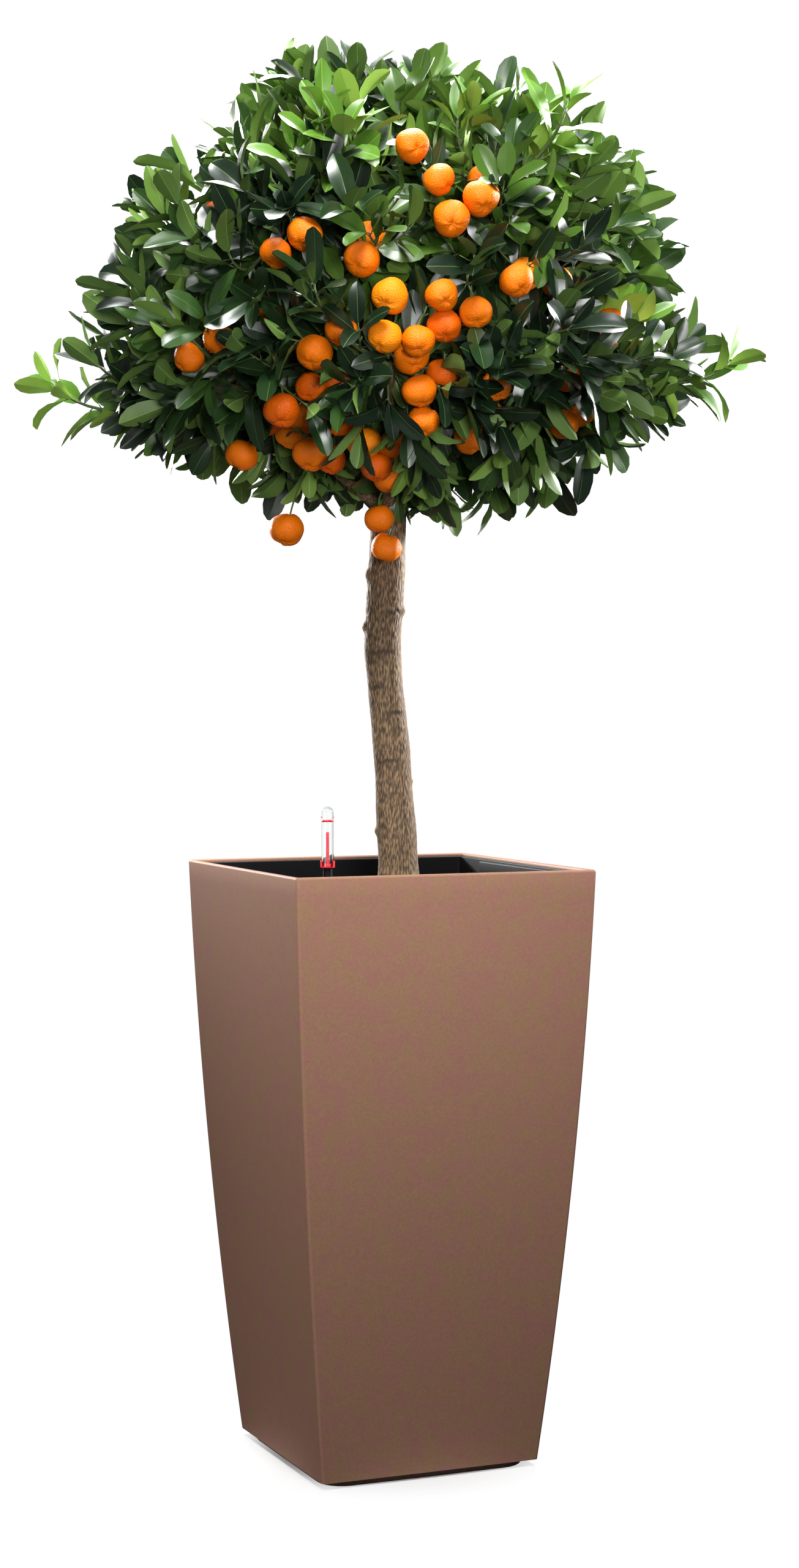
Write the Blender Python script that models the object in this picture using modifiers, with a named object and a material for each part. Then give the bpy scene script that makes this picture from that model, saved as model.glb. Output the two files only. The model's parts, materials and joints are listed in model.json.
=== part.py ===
"""A calamondin orange tree on a single trunk, in a tall square planter.

Metres, +Z up. The origin is on the ground under the planter's centre, and the planter's
sides face along X and Y. The view direction that the tree was measured from is named, and
places on the crown are given as it sees them. The planter stands on a foot that is set back
from its walls, and every height but that foot's is measured from the planter's underside.
"""

import math
import random

import bmesh
import bpy
from mathutils import Matrix, Vector
from mathutils.bvhtree import BVHTree

# Clearance between pieces that touch
GAP = 0.0003

# Foot: a dark plinth that lifts the planter's underside off the ground
STAND = 0.0065
BASE_HALF_WIDTH = 0.103
BASE_CORNER = 0.018

# Planter: a square vessel whose sides curve in towards its foot
PLANTER_HEIGHT = 0.560
PLANTER_HALF_WIDTH = 0.150
TAPER_STRAIGHT = 0.0196
TAPER_CURVED = 0.0209
WALL = 0.005
RIM_RADIUS = 0.0025
CORNER_ROUNDING = 0.003
SQUARE_STEPS = 12
WALL_RINGS = 8
FLOOR_UNDERSIDE = 0.010
FLOOR_THICKNESS = 0.004

# Liner that holds the soil, and the grips on two of its sides
LINER_WALL = 0.0035
LINER_TOP = 0.557
LINER_FLOOR = 0.004
SOIL_TOP = 0.530
GRIP_LENGTH = 0.165
GRIP_HEIGHT = 0.012
GRIP_THICKNESS = 0.005
GRIP_TOP = 0.5555
GRIP_EDGE = 0.0012

# Water level indicator, in the liner's front left corner
LEVEL_X = -0.1035
LEVEL_Y = -0.1080
TUBE_RADIUS = 0.0055
TUBE_WALL = 0.0010
TUBE_TOP = 0.6212
POST_RADIUS = 0.0042
CUP_RADIUS = 0.0068
CUP_BOTTOM = 0.5654
CUP_FLOOR = 0.5664
CUP_TOP = 0.5720
CUP_TAPER = 0.0008
CUP_SHOULDER = 0.0006
FLOAT_RADIUS = 0.0034
FLOAT_HEIGHT = 0.0026
ROD_RADIUS = 0.0015
ROD_TOP = 0.5980
ROD_CHAMFER = 0.0005
TURNED_STEPS = 12

# The side that faces the viewer, turned from -Y towards -X
VIEW_TURN = math.radians(23.0)
TO_VIEWER = Vector((-math.sin(VIEW_TURN), -math.cos(VIEW_TURN), 0.0))
TO_RIGHT = Vector((math.cos(VIEW_TURN), -math.sin(VIEW_TURN), 0.0))
UP = Vector((0.0, 0.0, 1.0))

# Trunk stations: height, shift to the viewer's right, radius
TRUNK_STATIONS = (
    (0.5303, 0.0116, 0.0225),
    (0.5420, 0.0116, 0.0200),
    (0.5620, 0.0112, 0.0190),
    (0.5940, 0.0098, 0.0187),
    (0.6280, 0.0076, 0.0176),
    (0.6800, 0.0045, 0.0173),
    (0.7340, -0.0016, 0.0171),
    (0.7700, -0.0044, 0.0174),
    (0.8050, -0.0016, 0.0177),
    (0.8400, 0.0000, 0.0176),
    (0.9000, 0.0020, 0.0164),
    (0.9500, 0.0034, 0.0150),
    (0.9950, 0.0046, 0.0135),
)
TRUNK_BEVEL = 4

# Crown: the surface that its leaf tips reach, round its waist
CROWN_SHIFT = 0.006
CROWN_WAIST = 1.070
CROWN_RADIUS = 0.305
CROWN_RISE = 0.288
CROWN_DROP = 0.205
RISE_POWER = 2.7
DROP_POWER = 2.0

# Rings of foliage masses: distance from the crown's axis and height of each heart
LOWER_COUNT = 7
LOWER_DISTANCE = 0.180
LOWER_HEIGHT = 1.015
LOWER_STEP = 3
LOWER_FORK = 0.884
LOWER_REACH = (1.00, 1.04, 1.06, 0.98, 1.00, 1.05, 1.04)
UPPER_COUNT = 5
UPPER_DISTANCE = 0.155
UPPER_HEIGHT = 1.180
UPPER_STEP = 2
UPPER_FORK = 0.939
UPPER_REACH = (1.00, 0.97, 1.00, 1.01, 1.03)
TOP_HEIGHT = 1.225
TOP_REACH = 1.00
FORK_SPACING = 0.0085

# Boughs, and the stem that each mass grows from
BOUGH_ROOT_RADIUS = 0.0068
BOUGH_TIP_RADIUS = 0.0044
BOUGH_BEVEL = 1
BOUGH_POINTS = 6
BOUGH_STRAIGHT = 0.012
BOUGH_BEND_OUT = 0.045
BOUGH_BEND_UP = 0.012
LEADER_RISE = 0.018
LIMB_CLEARANCE = 1.4 * GAP
LEADER_ROOT_RADIUS = 0.0095
STEM_RADIUS = 0.0040
STEM_LENGTH = 0.032
STEM_SIDES = 5

# Foliage
HEART_RADIUS = 0.040
HEART_SUBDIVISIONS = 1
SHOOT_COUNT = 124
TWIG_ROOT_RADIUS = 0.0030
SIDE_TWIG_RADIUS = 0.0021
TWIG_TIP_RADIUS = 0.0016
STALK_RADIUS = 0.0019
TWIG_SIDES = 3
TWIG_FORK = 0.5
FORK_GAIN = 0.8
FORK_STRAIGHTNESS = 0.72
LEAF_LENGTH = 0.098
LEAF_WIDTH = 0.050
LEAF_SHOULDER = 0.27
LEAF_CHEEK = 0.68
LEAF_RISE = 0.022
LEAF_DROP = 0.035
LEAF_SINK = 0.0012
TIP_LEAF_SINK = 0.0020
TIP_LEAF_ROOM = 0.92
LEAVES_PER_SHOOT = 4
SIDE_LEAF_STEP = 0.22
FILL_COUNT = 420
FILL_DEPTH = 0.88
FILL_SPACING = 0.052
FILL_LOWEST = 0.35
FILL_HIGHEST = 0.97
FILL_REACH = 0.8
FILL_TWIG_SHARE = 0.6
LEAF_TRIES = 8
CELL_MARGIN = 0.0005
LIMB_MARGIN = 0.0020
TEST_SIDES = 8
GOLDEN_ANGLE = math.pi * (3.0 - math.sqrt(5.0))
SEED = 11

# Shoots that stand out of the crown: turn from the front in degrees, height, distance
STRAY_SHOOTS = (
    (-92.0, 1.050, 0.364),
    (88.0, 1.075, 0.356),
    (-150.0, 1.120, 0.330),
    (40.0, 1.290, 0.262),
)

# Fruit: side and height as the viewer sees each cluster on the crown, and its count
FRUIT_RADIUS = 0.0158
FRUIT_FLATNESS = 0.92
FRUIT_DEPTH = 0.90
FRUIT_SPREAD = 0.64
FRONT_FRUIT = (
    (0.047, 1.189, 1),
    (0.072, 1.150, 1),
    (0.020, 1.225, 1),
    (-0.030, 1.105, 1),
    (-0.002, 1.069, 1),
    (0.049, 1.070, 1),
    (0.084, 1.055, 1),
    (0.133, 1.088, 1),
    (-0.006, 1.030, 1),
    (0.038, 1.024, 1),
    (0.038, 0.978, 3),
    (0.106, 0.985, 1),
    (0.088, 0.933, 1),
    (-0.191, 1.020, 1),
    (-0.148, 0.930, 1),
    (-0.099, 0.967, 1),
    (-0.076, 0.925, 3),
    (-0.005, 0.905, 3),
    (0.199, 0.954, 2),
    (0.230, 1.044, 1),
    (-0.069, 1.018, 2),
    (-0.102, 1.114, 2),
)
BACK_FRUIT = 14


def clear_scene():
    for obj in list(bpy.data.objects):
        bpy.data.objects.remove(obj)


def new_collection(name):
    collection = bpy.data.collections.new(name)
    bpy.context.scene.collection.children.link(collection)
    return collection


def finish(name, colour, roughness):
    material = bpy.data.materials.new(name)
    material.use_nodes = True
    shader = material.node_tree.nodes["Principled BSDF"]
    shader.inputs["Base Color"].default_value = (*colour, 1.0)
    shader.inputs["Roughness"].default_value = roughness
    return material


def mesh_object(name, mesh, collection, material=None):
    obj = bpy.data.objects.new(name, mesh)
    collection.objects.link(obj)
    if material:
        mesh.materials.append(material)
    return obj


def mesh_from(shape, name):
    """A mesh made of a bmesh, which is freed."""
    bmesh.ops.recalc_face_normals(shape, faces=shape.faces)
    mesh = bpy.data.meshes.new(name)
    shape.to_mesh(mesh)
    shape.free()
    return mesh


def turned(name, profile, steps, collection, material):
    """A solid turned round +Z from its profile of (radius, height) points."""
    shape = bmesh.new()
    points = [shape.verts.new((radius, 0.0, height)) for radius, height in profile]
    for first, second in zip(points, points[1:]):
        shape.edges.new((first, second))
    mesh = bpy.data.meshes.new(name)
    shape.to_mesh(mesh)
    shape.free()
    obj = mesh_object(name, mesh, collection, material)
    screw = obj.modifiers.new("turn", "SCREW")
    screw.steps = steps
    screw.render_steps = steps
    screw.use_merge_vertices = True
    screw.merge_threshold = 0.00005
    return obj


def square(name, profile, collection, material, rounding=CORNER_ROUNDING):
    """A round-cornered square solid from its profile of (half width, height) points.

    It is turned in steps of 30 degrees, and each quarter's three points are then moved to
    the start, the middle and the end of that corner's arc.
    """
    obj = turned(name, profile, SQUARE_STEPS, collection, material)
    bpy.context.view_layer.update()
    graph = bpy.context.evaluated_depsgraph_get()
    mesh = bpy.data.meshes.new_from_object(obj.evaluated_get(graph))
    obj.modifiers.clear()
    obj.data = mesh
    for vert in mesh.vertices:
        half = math.hypot(vert.co.x, vert.co.y)
        if half < rounding:
            continue
        step = round(math.atan2(vert.co.y, vert.co.x) / (2.0 * math.pi / SQUARE_STEPS))
        quarter, place = divmod(step % SQUARE_STEPS, 3)
        middle = math.radians(90.0 * quarter + 45.0)
        corner = (half - rounding) * math.sqrt(2.0)
        angle = math.radians(90.0 * quarter + 45.0 * place)
        vert.co.x = corner * math.cos(middle) + rounding * math.cos(angle)
        vert.co.y = corner * math.sin(middle) + rounding * math.sin(angle)
    return obj


def outer_half(height):
    """Half the planter's outer width at a height."""
    down = 1.0 - height / PLANTER_HEIGHT
    return PLANTER_HALF_WIDTH - TAPER_STRAIGHT * down - TAPER_CURVED * down * down


def heights(low, high):
    """Heights of the wall rings from low to high, both ends included."""
    step = PLANTER_HEIGHT / WALL_RINGS
    between = [ring * step for ring in range(1, WALL_RINGS) if low < ring * step < high]
    return [low, *between, high]


def planter_shell(collection):
    floor_top = FLOOR_UNDERSIDE + FLOOR_THICKNESS
    rim_middle = PLANTER_HEIGHT - RIM_RADIUS
    profile = [(0.0, floor_top)]
    profile += [(outer_half(z) - WALL, z) for z in heights(floor_top, rim_middle)]
    for degrees in (135.0, 90.0, 45.0):
        angle = math.radians(degrees)
        across = outer_half(rim_middle) - RIM_RADIUS + RIM_RADIUS * math.cos(angle)
        profile.append((across, rim_middle + RIM_RADIUS * math.sin(angle)))
    profile += [(outer_half(z), z) for z in reversed(heights(0.0, rim_middle))]
    foot = outer_half(0.0) - WALL
    profile += [(foot, 0.0), (foot, FLOOR_UNDERSIDE), (0.0, FLOOR_UNDERSIDE)]
    brown = finish("brown_satin_plastic", (0.26, 0.16, 0.12), 0.38)
    square("planter_shell", profile, collection, brown)


def planter_base(collection):
    """The foot, from the ground up to the planter's floor, with its corners cut."""
    top = STAND + FLOOR_UNDERSIDE - GAP
    profile = [(0.0, top), (BASE_HALF_WIDTH, top), (BASE_HALF_WIDTH, 0.0), (0.0, 0.0)]
    dark = finish("dark_base_plastic", (0.03, 0.025, 0.02), 0.6)
    square("planter_base", profile, collection, dark, BASE_CORNER)


def liner_outer(height):
    return outer_half(height) - WALL - GAP


def planter_liner(collection, black):
    bottom = FLOOR_UNDERSIDE + FLOOR_THICKNESS + GAP
    floor_top = bottom + LINER_FLOOR
    profile = [(0.0, floor_top)]
    profile += [(liner_outer(z) - LINER_WALL, z) for z in heights(floor_top, LINER_TOP)]
    profile += [(liner_outer(z), z) for z in reversed(heights(bottom, LINER_TOP))]
    profile.append((0.0, bottom))
    square("planter_liner", profile, collection, black)


def soil(collection):
    bottom = FLOOR_UNDERSIDE + FLOOR_THICKNESS + GAP + LINER_FLOOR + GAP
    profile = [(0.0, SOIL_TOP)]
    levels = reversed(heights(bottom, SOIL_TOP))
    profile += [(liner_outer(z) - LINER_WALL - GAP, z) for z in levels]
    profile.append((0.0, bottom))
    earth = finish("potting_soil", (0.035, 0.022, 0.014), 0.95)
    square("soil", profile, collection, earth)


def grip(name, side, collection, black):
    """A grip bar against the inside of the liner's wall, on the +X or the -X side."""
    wall = liner_outer(GRIP_TOP - GRIP_HEIGHT) - LINER_WALL
    bpy.ops.mesh.primitive_cube_add(size=1.0)
    bar = bpy.context.object
    bar.name = name
    bar.scale = (GRIP_THICKNESS, GRIP_LENGTH, GRIP_HEIGHT)
    bpy.ops.object.transform_apply(location=False, rotation=False, scale=True)
    centre = wall - GAP - GRIP_THICKNESS / 2.0
    bar.location = (side * centre, 0.0, GRIP_TOP - GRIP_HEIGHT / 2.0)
    edge = bar.modifiers.new("edges", "BEVEL")
    edge.width = GRIP_EDGE
    edge.segments = 1
    bar.data.materials.append(black)
    for holder in list(bar.users_collection):
        holder.objects.unlink(bar)
    collection.objects.link(bar)


def dome(radius, centre, steps):
    """Profile of a round top, from its crest down to its side."""
    angles = [math.pi / 2.0 * step / steps for step in range(steps + 1)]
    return [(radius * math.sin(a), centre + radius * math.cos(a)) for a in angles]


def level_indicator(collection, black):
    """Post with its cup, clear tube with a round top, and the red float inside."""
    place = (LEVEL_X, LEVEL_Y, 0.0)
    cup_inner = TUBE_RADIUS + GAP
    post = [
        (0.0, CUP_FLOOR),
        (cup_inner, CUP_FLOOR),
        (cup_inner, CUP_TOP),
        (CUP_RADIUS, CUP_TOP),
        (CUP_RADIUS - CUP_TAPER, CUP_BOTTOM),
        (POST_RADIUS, CUP_BOTTOM - CUP_SHOULDER),
        (POST_RADIUS, SOIL_TOP + GAP),
        (0.0, SOIL_TOP + GAP),
    ]
    turned("level_post", post, TURNED_STEPS, collection, black).location = place
    foot = CUP_FLOOR + GAP
    bore = TUBE_RADIUS - TUBE_WALL
    tube = dome(TUBE_RADIUS, TUBE_TOP - TUBE_RADIUS, 3)
    tube += [(TUBE_RADIUS, foot), (bore, foot)]
    tube += reversed(dome(bore, TUBE_TOP - TUBE_RADIUS, 3))
    clear = finish("clear_plastic", (0.9, 0.93, 0.92), 0.08)
    turned("level_tube", tube, TURNED_STEPS, collection, clear).location = place
    float_shape = [
        (0.0, ROD_TOP),
        (ROD_RADIUS - ROD_CHAMFER, ROD_TOP),
        (ROD_RADIUS, ROD_TOP - ROD_CHAMFER),
        (ROD_RADIUS, foot + FLOAT_HEIGHT),
        (FLOAT_RADIUS, foot + FLOAT_HEIGHT),
        (FLOAT_RADIUS, foot),
        (0.0, foot),
    ]
    red = finish("red_float", (0.72, 0.03, 0.04), 0.35)
    turned("level_float", float_shape, TURNED_STEPS, collection, red).location = place


def limb(name, points, radii, bevel, collection, material):
    """A tapering limb: a tube along its points, made a mesh with its ends welded."""
    curve = bpy.data.curves.new(name + "_path", "CURVE")
    curve.dimensions = "3D"
    curve.bevel_depth = 1.0
    curve.bevel_resolution = bevel
    curve.use_fill_caps = True
    spline = curve.splines.new("POLY")
    spline.points.add(len(points) - 1)
    for node, place, radius in zip(spline.points, points, radii):
        node.co = (*place, 1.0)
        node.radius = radius
    path = bpy.data.objects.new(name + "_path", curve)
    collection.objects.link(path)
    bpy.context.view_layer.update()
    graph = bpy.context.evaluated_depsgraph_get()
    mesh = bpy.data.meshes.new_from_object(path.evaluated_get(graph))
    shape = bmesh.new()
    shape.from_mesh(mesh)
    bmesh.ops.remove_doubles(shape, verts=shape.verts, dist=0.00001)
    bmesh.ops.recalc_face_normals(shape, faces=shape.faces)
    shape.to_mesh(mesh)
    shape.free()
    mesh.shade_smooth()
    mesh.set_sharp_from_angle(angle=math.radians(50.0))
    mesh.materials.clear()
    obj = mesh_object(name, mesh, collection, material)
    bpy.data.objects.remove(path)
    return obj


def trunk_point(height):
    """Centre and radius of the trunk at a height, between its stations."""
    for low, high in zip(TRUNK_STATIONS, TRUNK_STATIONS[1:]):
        if height <= high[0]:
            part = (height - low[0]) / (high[0] - low[0])
            shift = low[1] + part * (high[1] - low[1])
            radius = low[2] + part * (high[2] - low[2])
            return TO_RIGHT * shift + UP * height, radius
    height, shift, radius = TRUNK_STATIONS[-1]
    return TO_RIGHT * shift + UP * height, radius


def trunk(collection, cutters, bark):
    points = [TO_RIGHT * shift + UP * height for height, shift, _ in TRUNK_STATIONS]
    radii = [radius for _, _, radius in TRUNK_STATIONS]
    limb("trunk", points, radii, TRUNK_BEVEL, collection, bark)
    wider = [radius + GAP for radius in radii]
    cutter = limb("trunk_cutter", points, wider, TRUNK_BEVEL, cutters, None)
    cutter.hide_render = True
    cutter.display_type = "WIRE"
    return cutter


def heading(turn):
    """The level direction turned from the viewer's side towards the viewer's right."""
    return TO_VIEWER * math.cos(turn) + TO_RIGHT * math.sin(turn)


def crown_centre():
    return TO_RIGHT * CROWN_SHIFT + UP * CROWN_WAIST


def crown_reach(direction):
    """Distance from the crown's centre to its surface along a direction."""
    power = RISE_POWER if direction.z > 0.0 else DROP_POWER
    depth = CROWN_RISE if direction.z > 0.0 else CROWN_DROP
    level = math.hypot(direction.x, direction.y) / CROWN_RADIUS
    upright = abs(direction.z) / depth
    return (level**power + upright**power) ** (-1.0 / power)


class Mass:
    """One mass of foliage: its heart, the height its bough leaves the trunk, its reach."""

    def __init__(self, name, turn, distance, height, fork, reach):
        self.name = name
        self.heart = TO_RIGHT * CROWN_SHIFT + heading(turn) * distance + UP * height
        self.fork = fork
        self.reach = reach


def ring_of_masses(layer, count, distance, height, step, fork, reaches, half_turn):
    """Masses spread round the crown. The forks of neighbours are spread along the trunk."""
    masses = []
    for place in range(count):
        rank = next(k for k in range(count) if k * step % count == place)
        turn = 2.0 * math.pi * (place + half_turn) / count
        name = f"foliage_{layer}_{place + 1}"
        at = fork + rank * FORK_SPACING
        masses.append(Mass(name, turn, distance, height, at, reaches[place]))
    return masses


def all_masses():
    lower = ring_of_masses(
        "lower", LOWER_COUNT, LOWER_DISTANCE, LOWER_HEIGHT, LOWER_STEP, LOWER_FORK, LOWER_REACH, 0.0
    )
    upper = ring_of_masses(
        "upper", UPPER_COUNT, UPPER_DISTANCE, UPPER_HEIGHT, UPPER_STEP, UPPER_FORK, UPPER_REACH, 0.5
    )
    top = Mass("foliage_top", 0.0, 0.0, TOP_HEIGHT, None, TOP_REACH)
    return [*lower, *upper, top]


def stem_start(mass):
    """Tip of the mass's bough, and the direction from there to its heart."""
    if mass.fork is None:
        root = trunk_point(TRUNK_STATIONS[-1][0])[0]
    else:
        root = trunk_point(mass.fork)[0]
    inward = (mass.heart - root).normalized()
    return mass.heart - inward * (HEART_RADIUS + STEM_LENGTH), inward


def bough_points(mass):
    """Points along a bough: out of the trunk, upwards, then straight into its mass."""
    tip, inward = stem_start(mass)
    straight = tip - inward * BOUGH_STRAIGHT
    if mass.fork is None:
        top, _ = trunk_point(TRUNK_STATIONS[-1][0])
        before, _ = trunk_point(TRUNK_STATIONS[-2][0])
        upward = (top - before).normalized()
        return [top + upward * LIMB_CLEARANCE, top + upward * LEADER_RISE, straight, tip]
    root, _ = trunk_point(mass.fork)
    level = Vector((mass.heart.x - root.x, mass.heart.y - root.y, 0.0)).normalized()
    bend = root + level * BOUGH_BEND_OUT + UP * BOUGH_BEND_UP
    points = []
    for step in range(BOUGH_POINTS):
        along = step / (BOUGH_POINTS - 1)
        early = root.lerp(bend, along)
        late = bend.lerp(straight, along)
        points.append(early.lerp(late, along))
    return [*points, tip]


def bough(mass, collection, cutter, bark):
    points = bough_points(mass)
    root_radius = LEADER_ROOT_RADIUS if mass.fork is None else BOUGH_ROOT_RADIUS
    last = len(points) - 1
    drop = root_radius - BOUGH_TIP_RADIUS
    radii = [root_radius - drop * step / last for step in range(last + 1)]
    name = mass.name.replace("foliage", "bough")
    obj = limb(name, points, radii, BOUGH_BEVEL, collection, bark)
    if mass.fork is not None:
        cut = obj.modifiers.new("trunk", "BOOLEAN")
        cut.operation = "DIFFERENCE"
        cut.object = cutter
    return list(zip(points, radii))


def tapered(start, end, start_radius, end_radius, sides):
    """A bmesh of a straight tapered stick between two points."""
    shape = bmesh.new()
    length = (end - start).length
    bmesh.ops.create_cone(
        shape,
        cap_ends=True,
        segments=sides,
        radius1=start_radius,
        radius2=end_radius,
        depth=length,
    )
    turn = UP.rotation_difference(end - start).to_matrix().to_4x4()
    middle = Matrix.Translation((start + end) / 2.0)
    bmesh.ops.transform(shape, matrix=middle @ turn, verts=shape.verts)
    return shape


def leaf(root, along, facing, length):
    """A bmesh of one leaf: a thin blade of eight faces with six points round its outline.

    Its root stands above the plane of its four side points and its tip hangs below it.
    """
    shape = bmesh.new()
    bmesh.ops.create_uvsphere(shape, u_segments=4, v_segments=2, radius=1.0)
    half = length * LEAF_WIDTH / LEAF_LENGTH / 2.0
    for vert in shape.verts:
        x, y, z = vert.co
        if z > 0.5:
            vert.co = (0.0, length, -LEAF_DROP * length)
        elif z < -0.5:
            vert.co = (0.0, 0.0, LEAF_RISE * length)
        else:
            side = 1.0 if x - y > 0.0 else -1.0
            place = LEAF_SHOULDER if x + y < 0.0 else LEAF_CHEEK
            vert.co = (side * half, place * length, 0.0)
    across = along.cross(facing).normalized()
    normal = across.cross(along).normalized()
    frame = Matrix((across, along.normalized(), normal)).transposed().to_4x4()
    sink = Matrix.Translation((0.0, 0.0, -LEAF_RISE * length))
    place = Matrix.Translation(root) @ frame @ sink
    bmesh.ops.transform(shape, matrix=place, verts=shape.verts)
    return shape


def fruit(centre, turn):
    """A bmesh of one fruit, a little flattened."""
    shape = bmesh.new()
    bmesh.ops.create_uvsphere(shape, u_segments=6, v_segments=4, radius=FRUIT_RADIUS)
    squash = Matrix.Diagonal((1.0, 1.0, FRUIT_FLATNESS, 1.0))
    spin = Matrix.Rotation(turn, 4, "Z")
    matrix = Matrix.Translation(centre) @ spin @ squash
    bmesh.ops.transform(shape, matrix=matrix, verts=shape.verts)
    return shape


def samples(shape):
    """Corners, edge middles and face middles of a bmesh, to test where it lies."""
    points = [vert.co.copy() for vert in shape.verts]
    points += [(edge.verts[0].co + edge.verts[1].co) / 2.0 for edge in shape.edges]
    points += [face.calc_center_median() for face in shape.faces]
    return points


def in_cell(point, heart, others):
    """True where a point is nearer this heart than any other, by the margin."""
    own = (point - heart).length_squared
    for other in others:
        spare = (point - other).length_squared - own
        if spare < 2.0 * (other - heart).length * CELL_MARGIN:
            return False
    return True


def clear_of_limbs(point, limbs):
    """True where a point is outside every limb, by the margin."""
    for first, first_radius, second, second_radius in limbs:
        line = second - first
        part = (point - first).dot(line) / line.length_squared
        part = min(1.0, max(0.0, part))
        radius = first_radius + part * (second_radius - first_radius)
        if (point - first - line * part).length < radius + LIMB_MARGIN:
            return False
    return True


def limb_segments(stations):
    return [(a, ra, b, rb) for (a, ra), (b, rb) in zip(stations, stations[1:])]


def limb_tree(limbs):
    """A search tree of the limbs' surfaces, all wider by the margin."""
    points = []
    faces = []
    for first, first_radius, second, second_radius in limbs:
        wide = (first_radius + LIMB_MARGIN, second_radius + LIMB_MARGIN)
        shape = tapered(first, second, *wide, TEST_SIDES)
        shape.verts.index_update()
        faces += [[vert.index + len(points) for vert in face.verts] for face in shape.faces]
        points += [vert.co.copy() for vert in shape.verts]
        shape.free()
    return BVHTree.FromPolygons(points, faces)


class Foliage:
    """Grows one mass inside its own cell and clear of the limbs."""

    def __init__(self, mass, masses, limbs, tree):
        self.mass = mass
        self.limb_tree = tree
        self.others = [other.heart for other in masses if other is not mass]
        self.limbs = limbs
        self.pieces = []
        self.blockers = []
        self.twigs = []
        self.leaf_middles = []

    def fits(self, shape):
        heart = self.mass.heart
        inside = all(
            in_cell(point, heart, self.others) and clear_of_limbs(point, self.limbs)
            for point in samples(shape)
        )
        return inside and not BVHTree.FromBMesh(shape).overlap(self.limb_tree)

    def crosses(self, shape):
        tree = BVHTree.FromBMesh(shape)
        return any(tree.overlap(other) for other in self.blockers)

    def add(self, shape, blocks):
        if blocks:
            self.blockers.append(BVHTree.FromBMesh(shape))
        self.pieces.append(shape)

    def grow_heart(self):
        """The dense middle, pulled in where it would leave the cell."""
        heart = self.mass.heart
        shape = bmesh.new()
        bmesh.ops.create_icosphere(shape, subdivisions=HEART_SUBDIVISIONS, radius=HEART_RADIUS)
        for vert in shape.verts:
            ray = vert.co.copy()
            size = 1.0
            while not (
                in_cell(heart + ray * size, heart, self.others)
                and clear_of_limbs(heart + ray * size, self.limbs)
            ):
                size -= 0.04
            vert.co = heart + ray * size
        self.pieces.append(shape)
        tip, inward = stem_start(self.mass)
        start = tip + inward * LIMB_CLEARANCE
        self.pieces.append(tapered(start, heart, STEM_RADIUS, STEM_RADIUS * 0.7, STEM_SIDES))

    def root_for(self, target):
        """Where a twig to the target starts: part way up an earlier twig, or the heart."""
        best = self.mass.heart
        least = (target - best).length
        for start, end in self.twigs:
            along = (end - start).normalized()
            fork = start.lerp(end, TWIG_FORK)
            reach = target - fork
            near = reach.length
            if near < least * FORK_GAIN and along.dot(reach.normalized()) > FORK_STRAIGHTNESS:
                best = fork
                least = near
        return best

    def grow_twig(self, target):
        """A twig to the target, shortened until it fits. None where it can't."""
        start = self.root_for(target)
        from_heart = start == self.mass.heart
        root_radius = TWIG_ROOT_RADIUS if from_heart else SIDE_TWIG_RADIUS
        for share in (1.0, 0.9, 0.8, 0.7):
            end = start.lerp(target, share)
            shape = tapered(start, end, root_radius, TWIG_TIP_RADIUS, TWIG_SIDES)
            if self.fits(shape):
                self.add(shape, False)
                self.twigs.append((start, end))
                return start, end
            shape.free()
        return None

    def grow_fruit(self, target, turn):
        """A fruit at the target or nearer the heart, on a twig that ends inside it."""
        heart = self.mass.heart
        for share in (1.0, 0.95, 0.9, 0.85, 0.8, 0.75):
            centre = heart.lerp(target, share)
            shape = fruit(centre, turn)
            if self.fits(shape) and not self.crosses(shape):
                start = self.root_for(centre)
                stalk = tapered(start, centre, STALK_RADIUS, TWIG_TIP_RADIUS, TWIG_SIDES)
                if self.fits(stalk):
                    self.add(shape, True)
                    self.pieces.append(stalk)
                    return True
                stalk.free()
            shape.free()
        return False

    def grow_leaf(self, root, along, facing, rng):
        """One leaf. It is turned a little and tried again where it doesn't fit."""
        for _ in range(LEAF_TRIES):
            length = LEAF_LENGTH * rng.uniform(0.90, 1.08)
            shape = leaf(root - along * LEAF_SINK, along, facing, length)
            if self.fits(shape) and not self.crosses(shape):
                self.add(shape, True)
                self.leaf_middles.append(root + along * length / 2.0)
                return True
            shape.free()
            nudge = Vector((rng.gauss(0.0, 0.3), rng.gauss(0.0, 0.3), rng.gauss(0.0, 0.3)))
            along = (along + nudge).normalized()
            facing = (facing + nudge * 0.7).normalized()
        return False

    def grow_shoot(self, target, rng):
        """A twig with a leaf at its tip and leaves up its sides."""
        outward = (target - crown_centre()).normalized()
        twig = self.grow_twig(target - outward * LEAF_LENGTH * TIP_LEAF_ROOM)
        if twig is None:
            return
        start, end = twig
        along = (end - start).normalized()
        side = along.cross(UP)
        if side.length < 0.2:
            side = along.cross(TO_RIGHT)
        side.normalize()
        roll = rng.uniform(0.0, 2.0 * math.pi)
        tip = (along + outward * 0.8 + UP * 0.2).normalized()
        self.grow_leaf(end - along * TIP_LEAF_SINK, tip, (outward + UP).normalized(), rng)
        for number in range(1, LEAVES_PER_SHOOT):
            place = end.lerp(start, SIDE_LEAF_STEP * number)
            angle = roll + GOLDEN_ANGLE * number
            out = Matrix.Rotation(angle, 3, along) @ side
            pointing = (along * 0.45 + out * 0.85 + outward * 0.2).normalized()
            self.grow_leaf(place, pointing, (along + outward + UP * 0.4).normalized(), rng)

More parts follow.
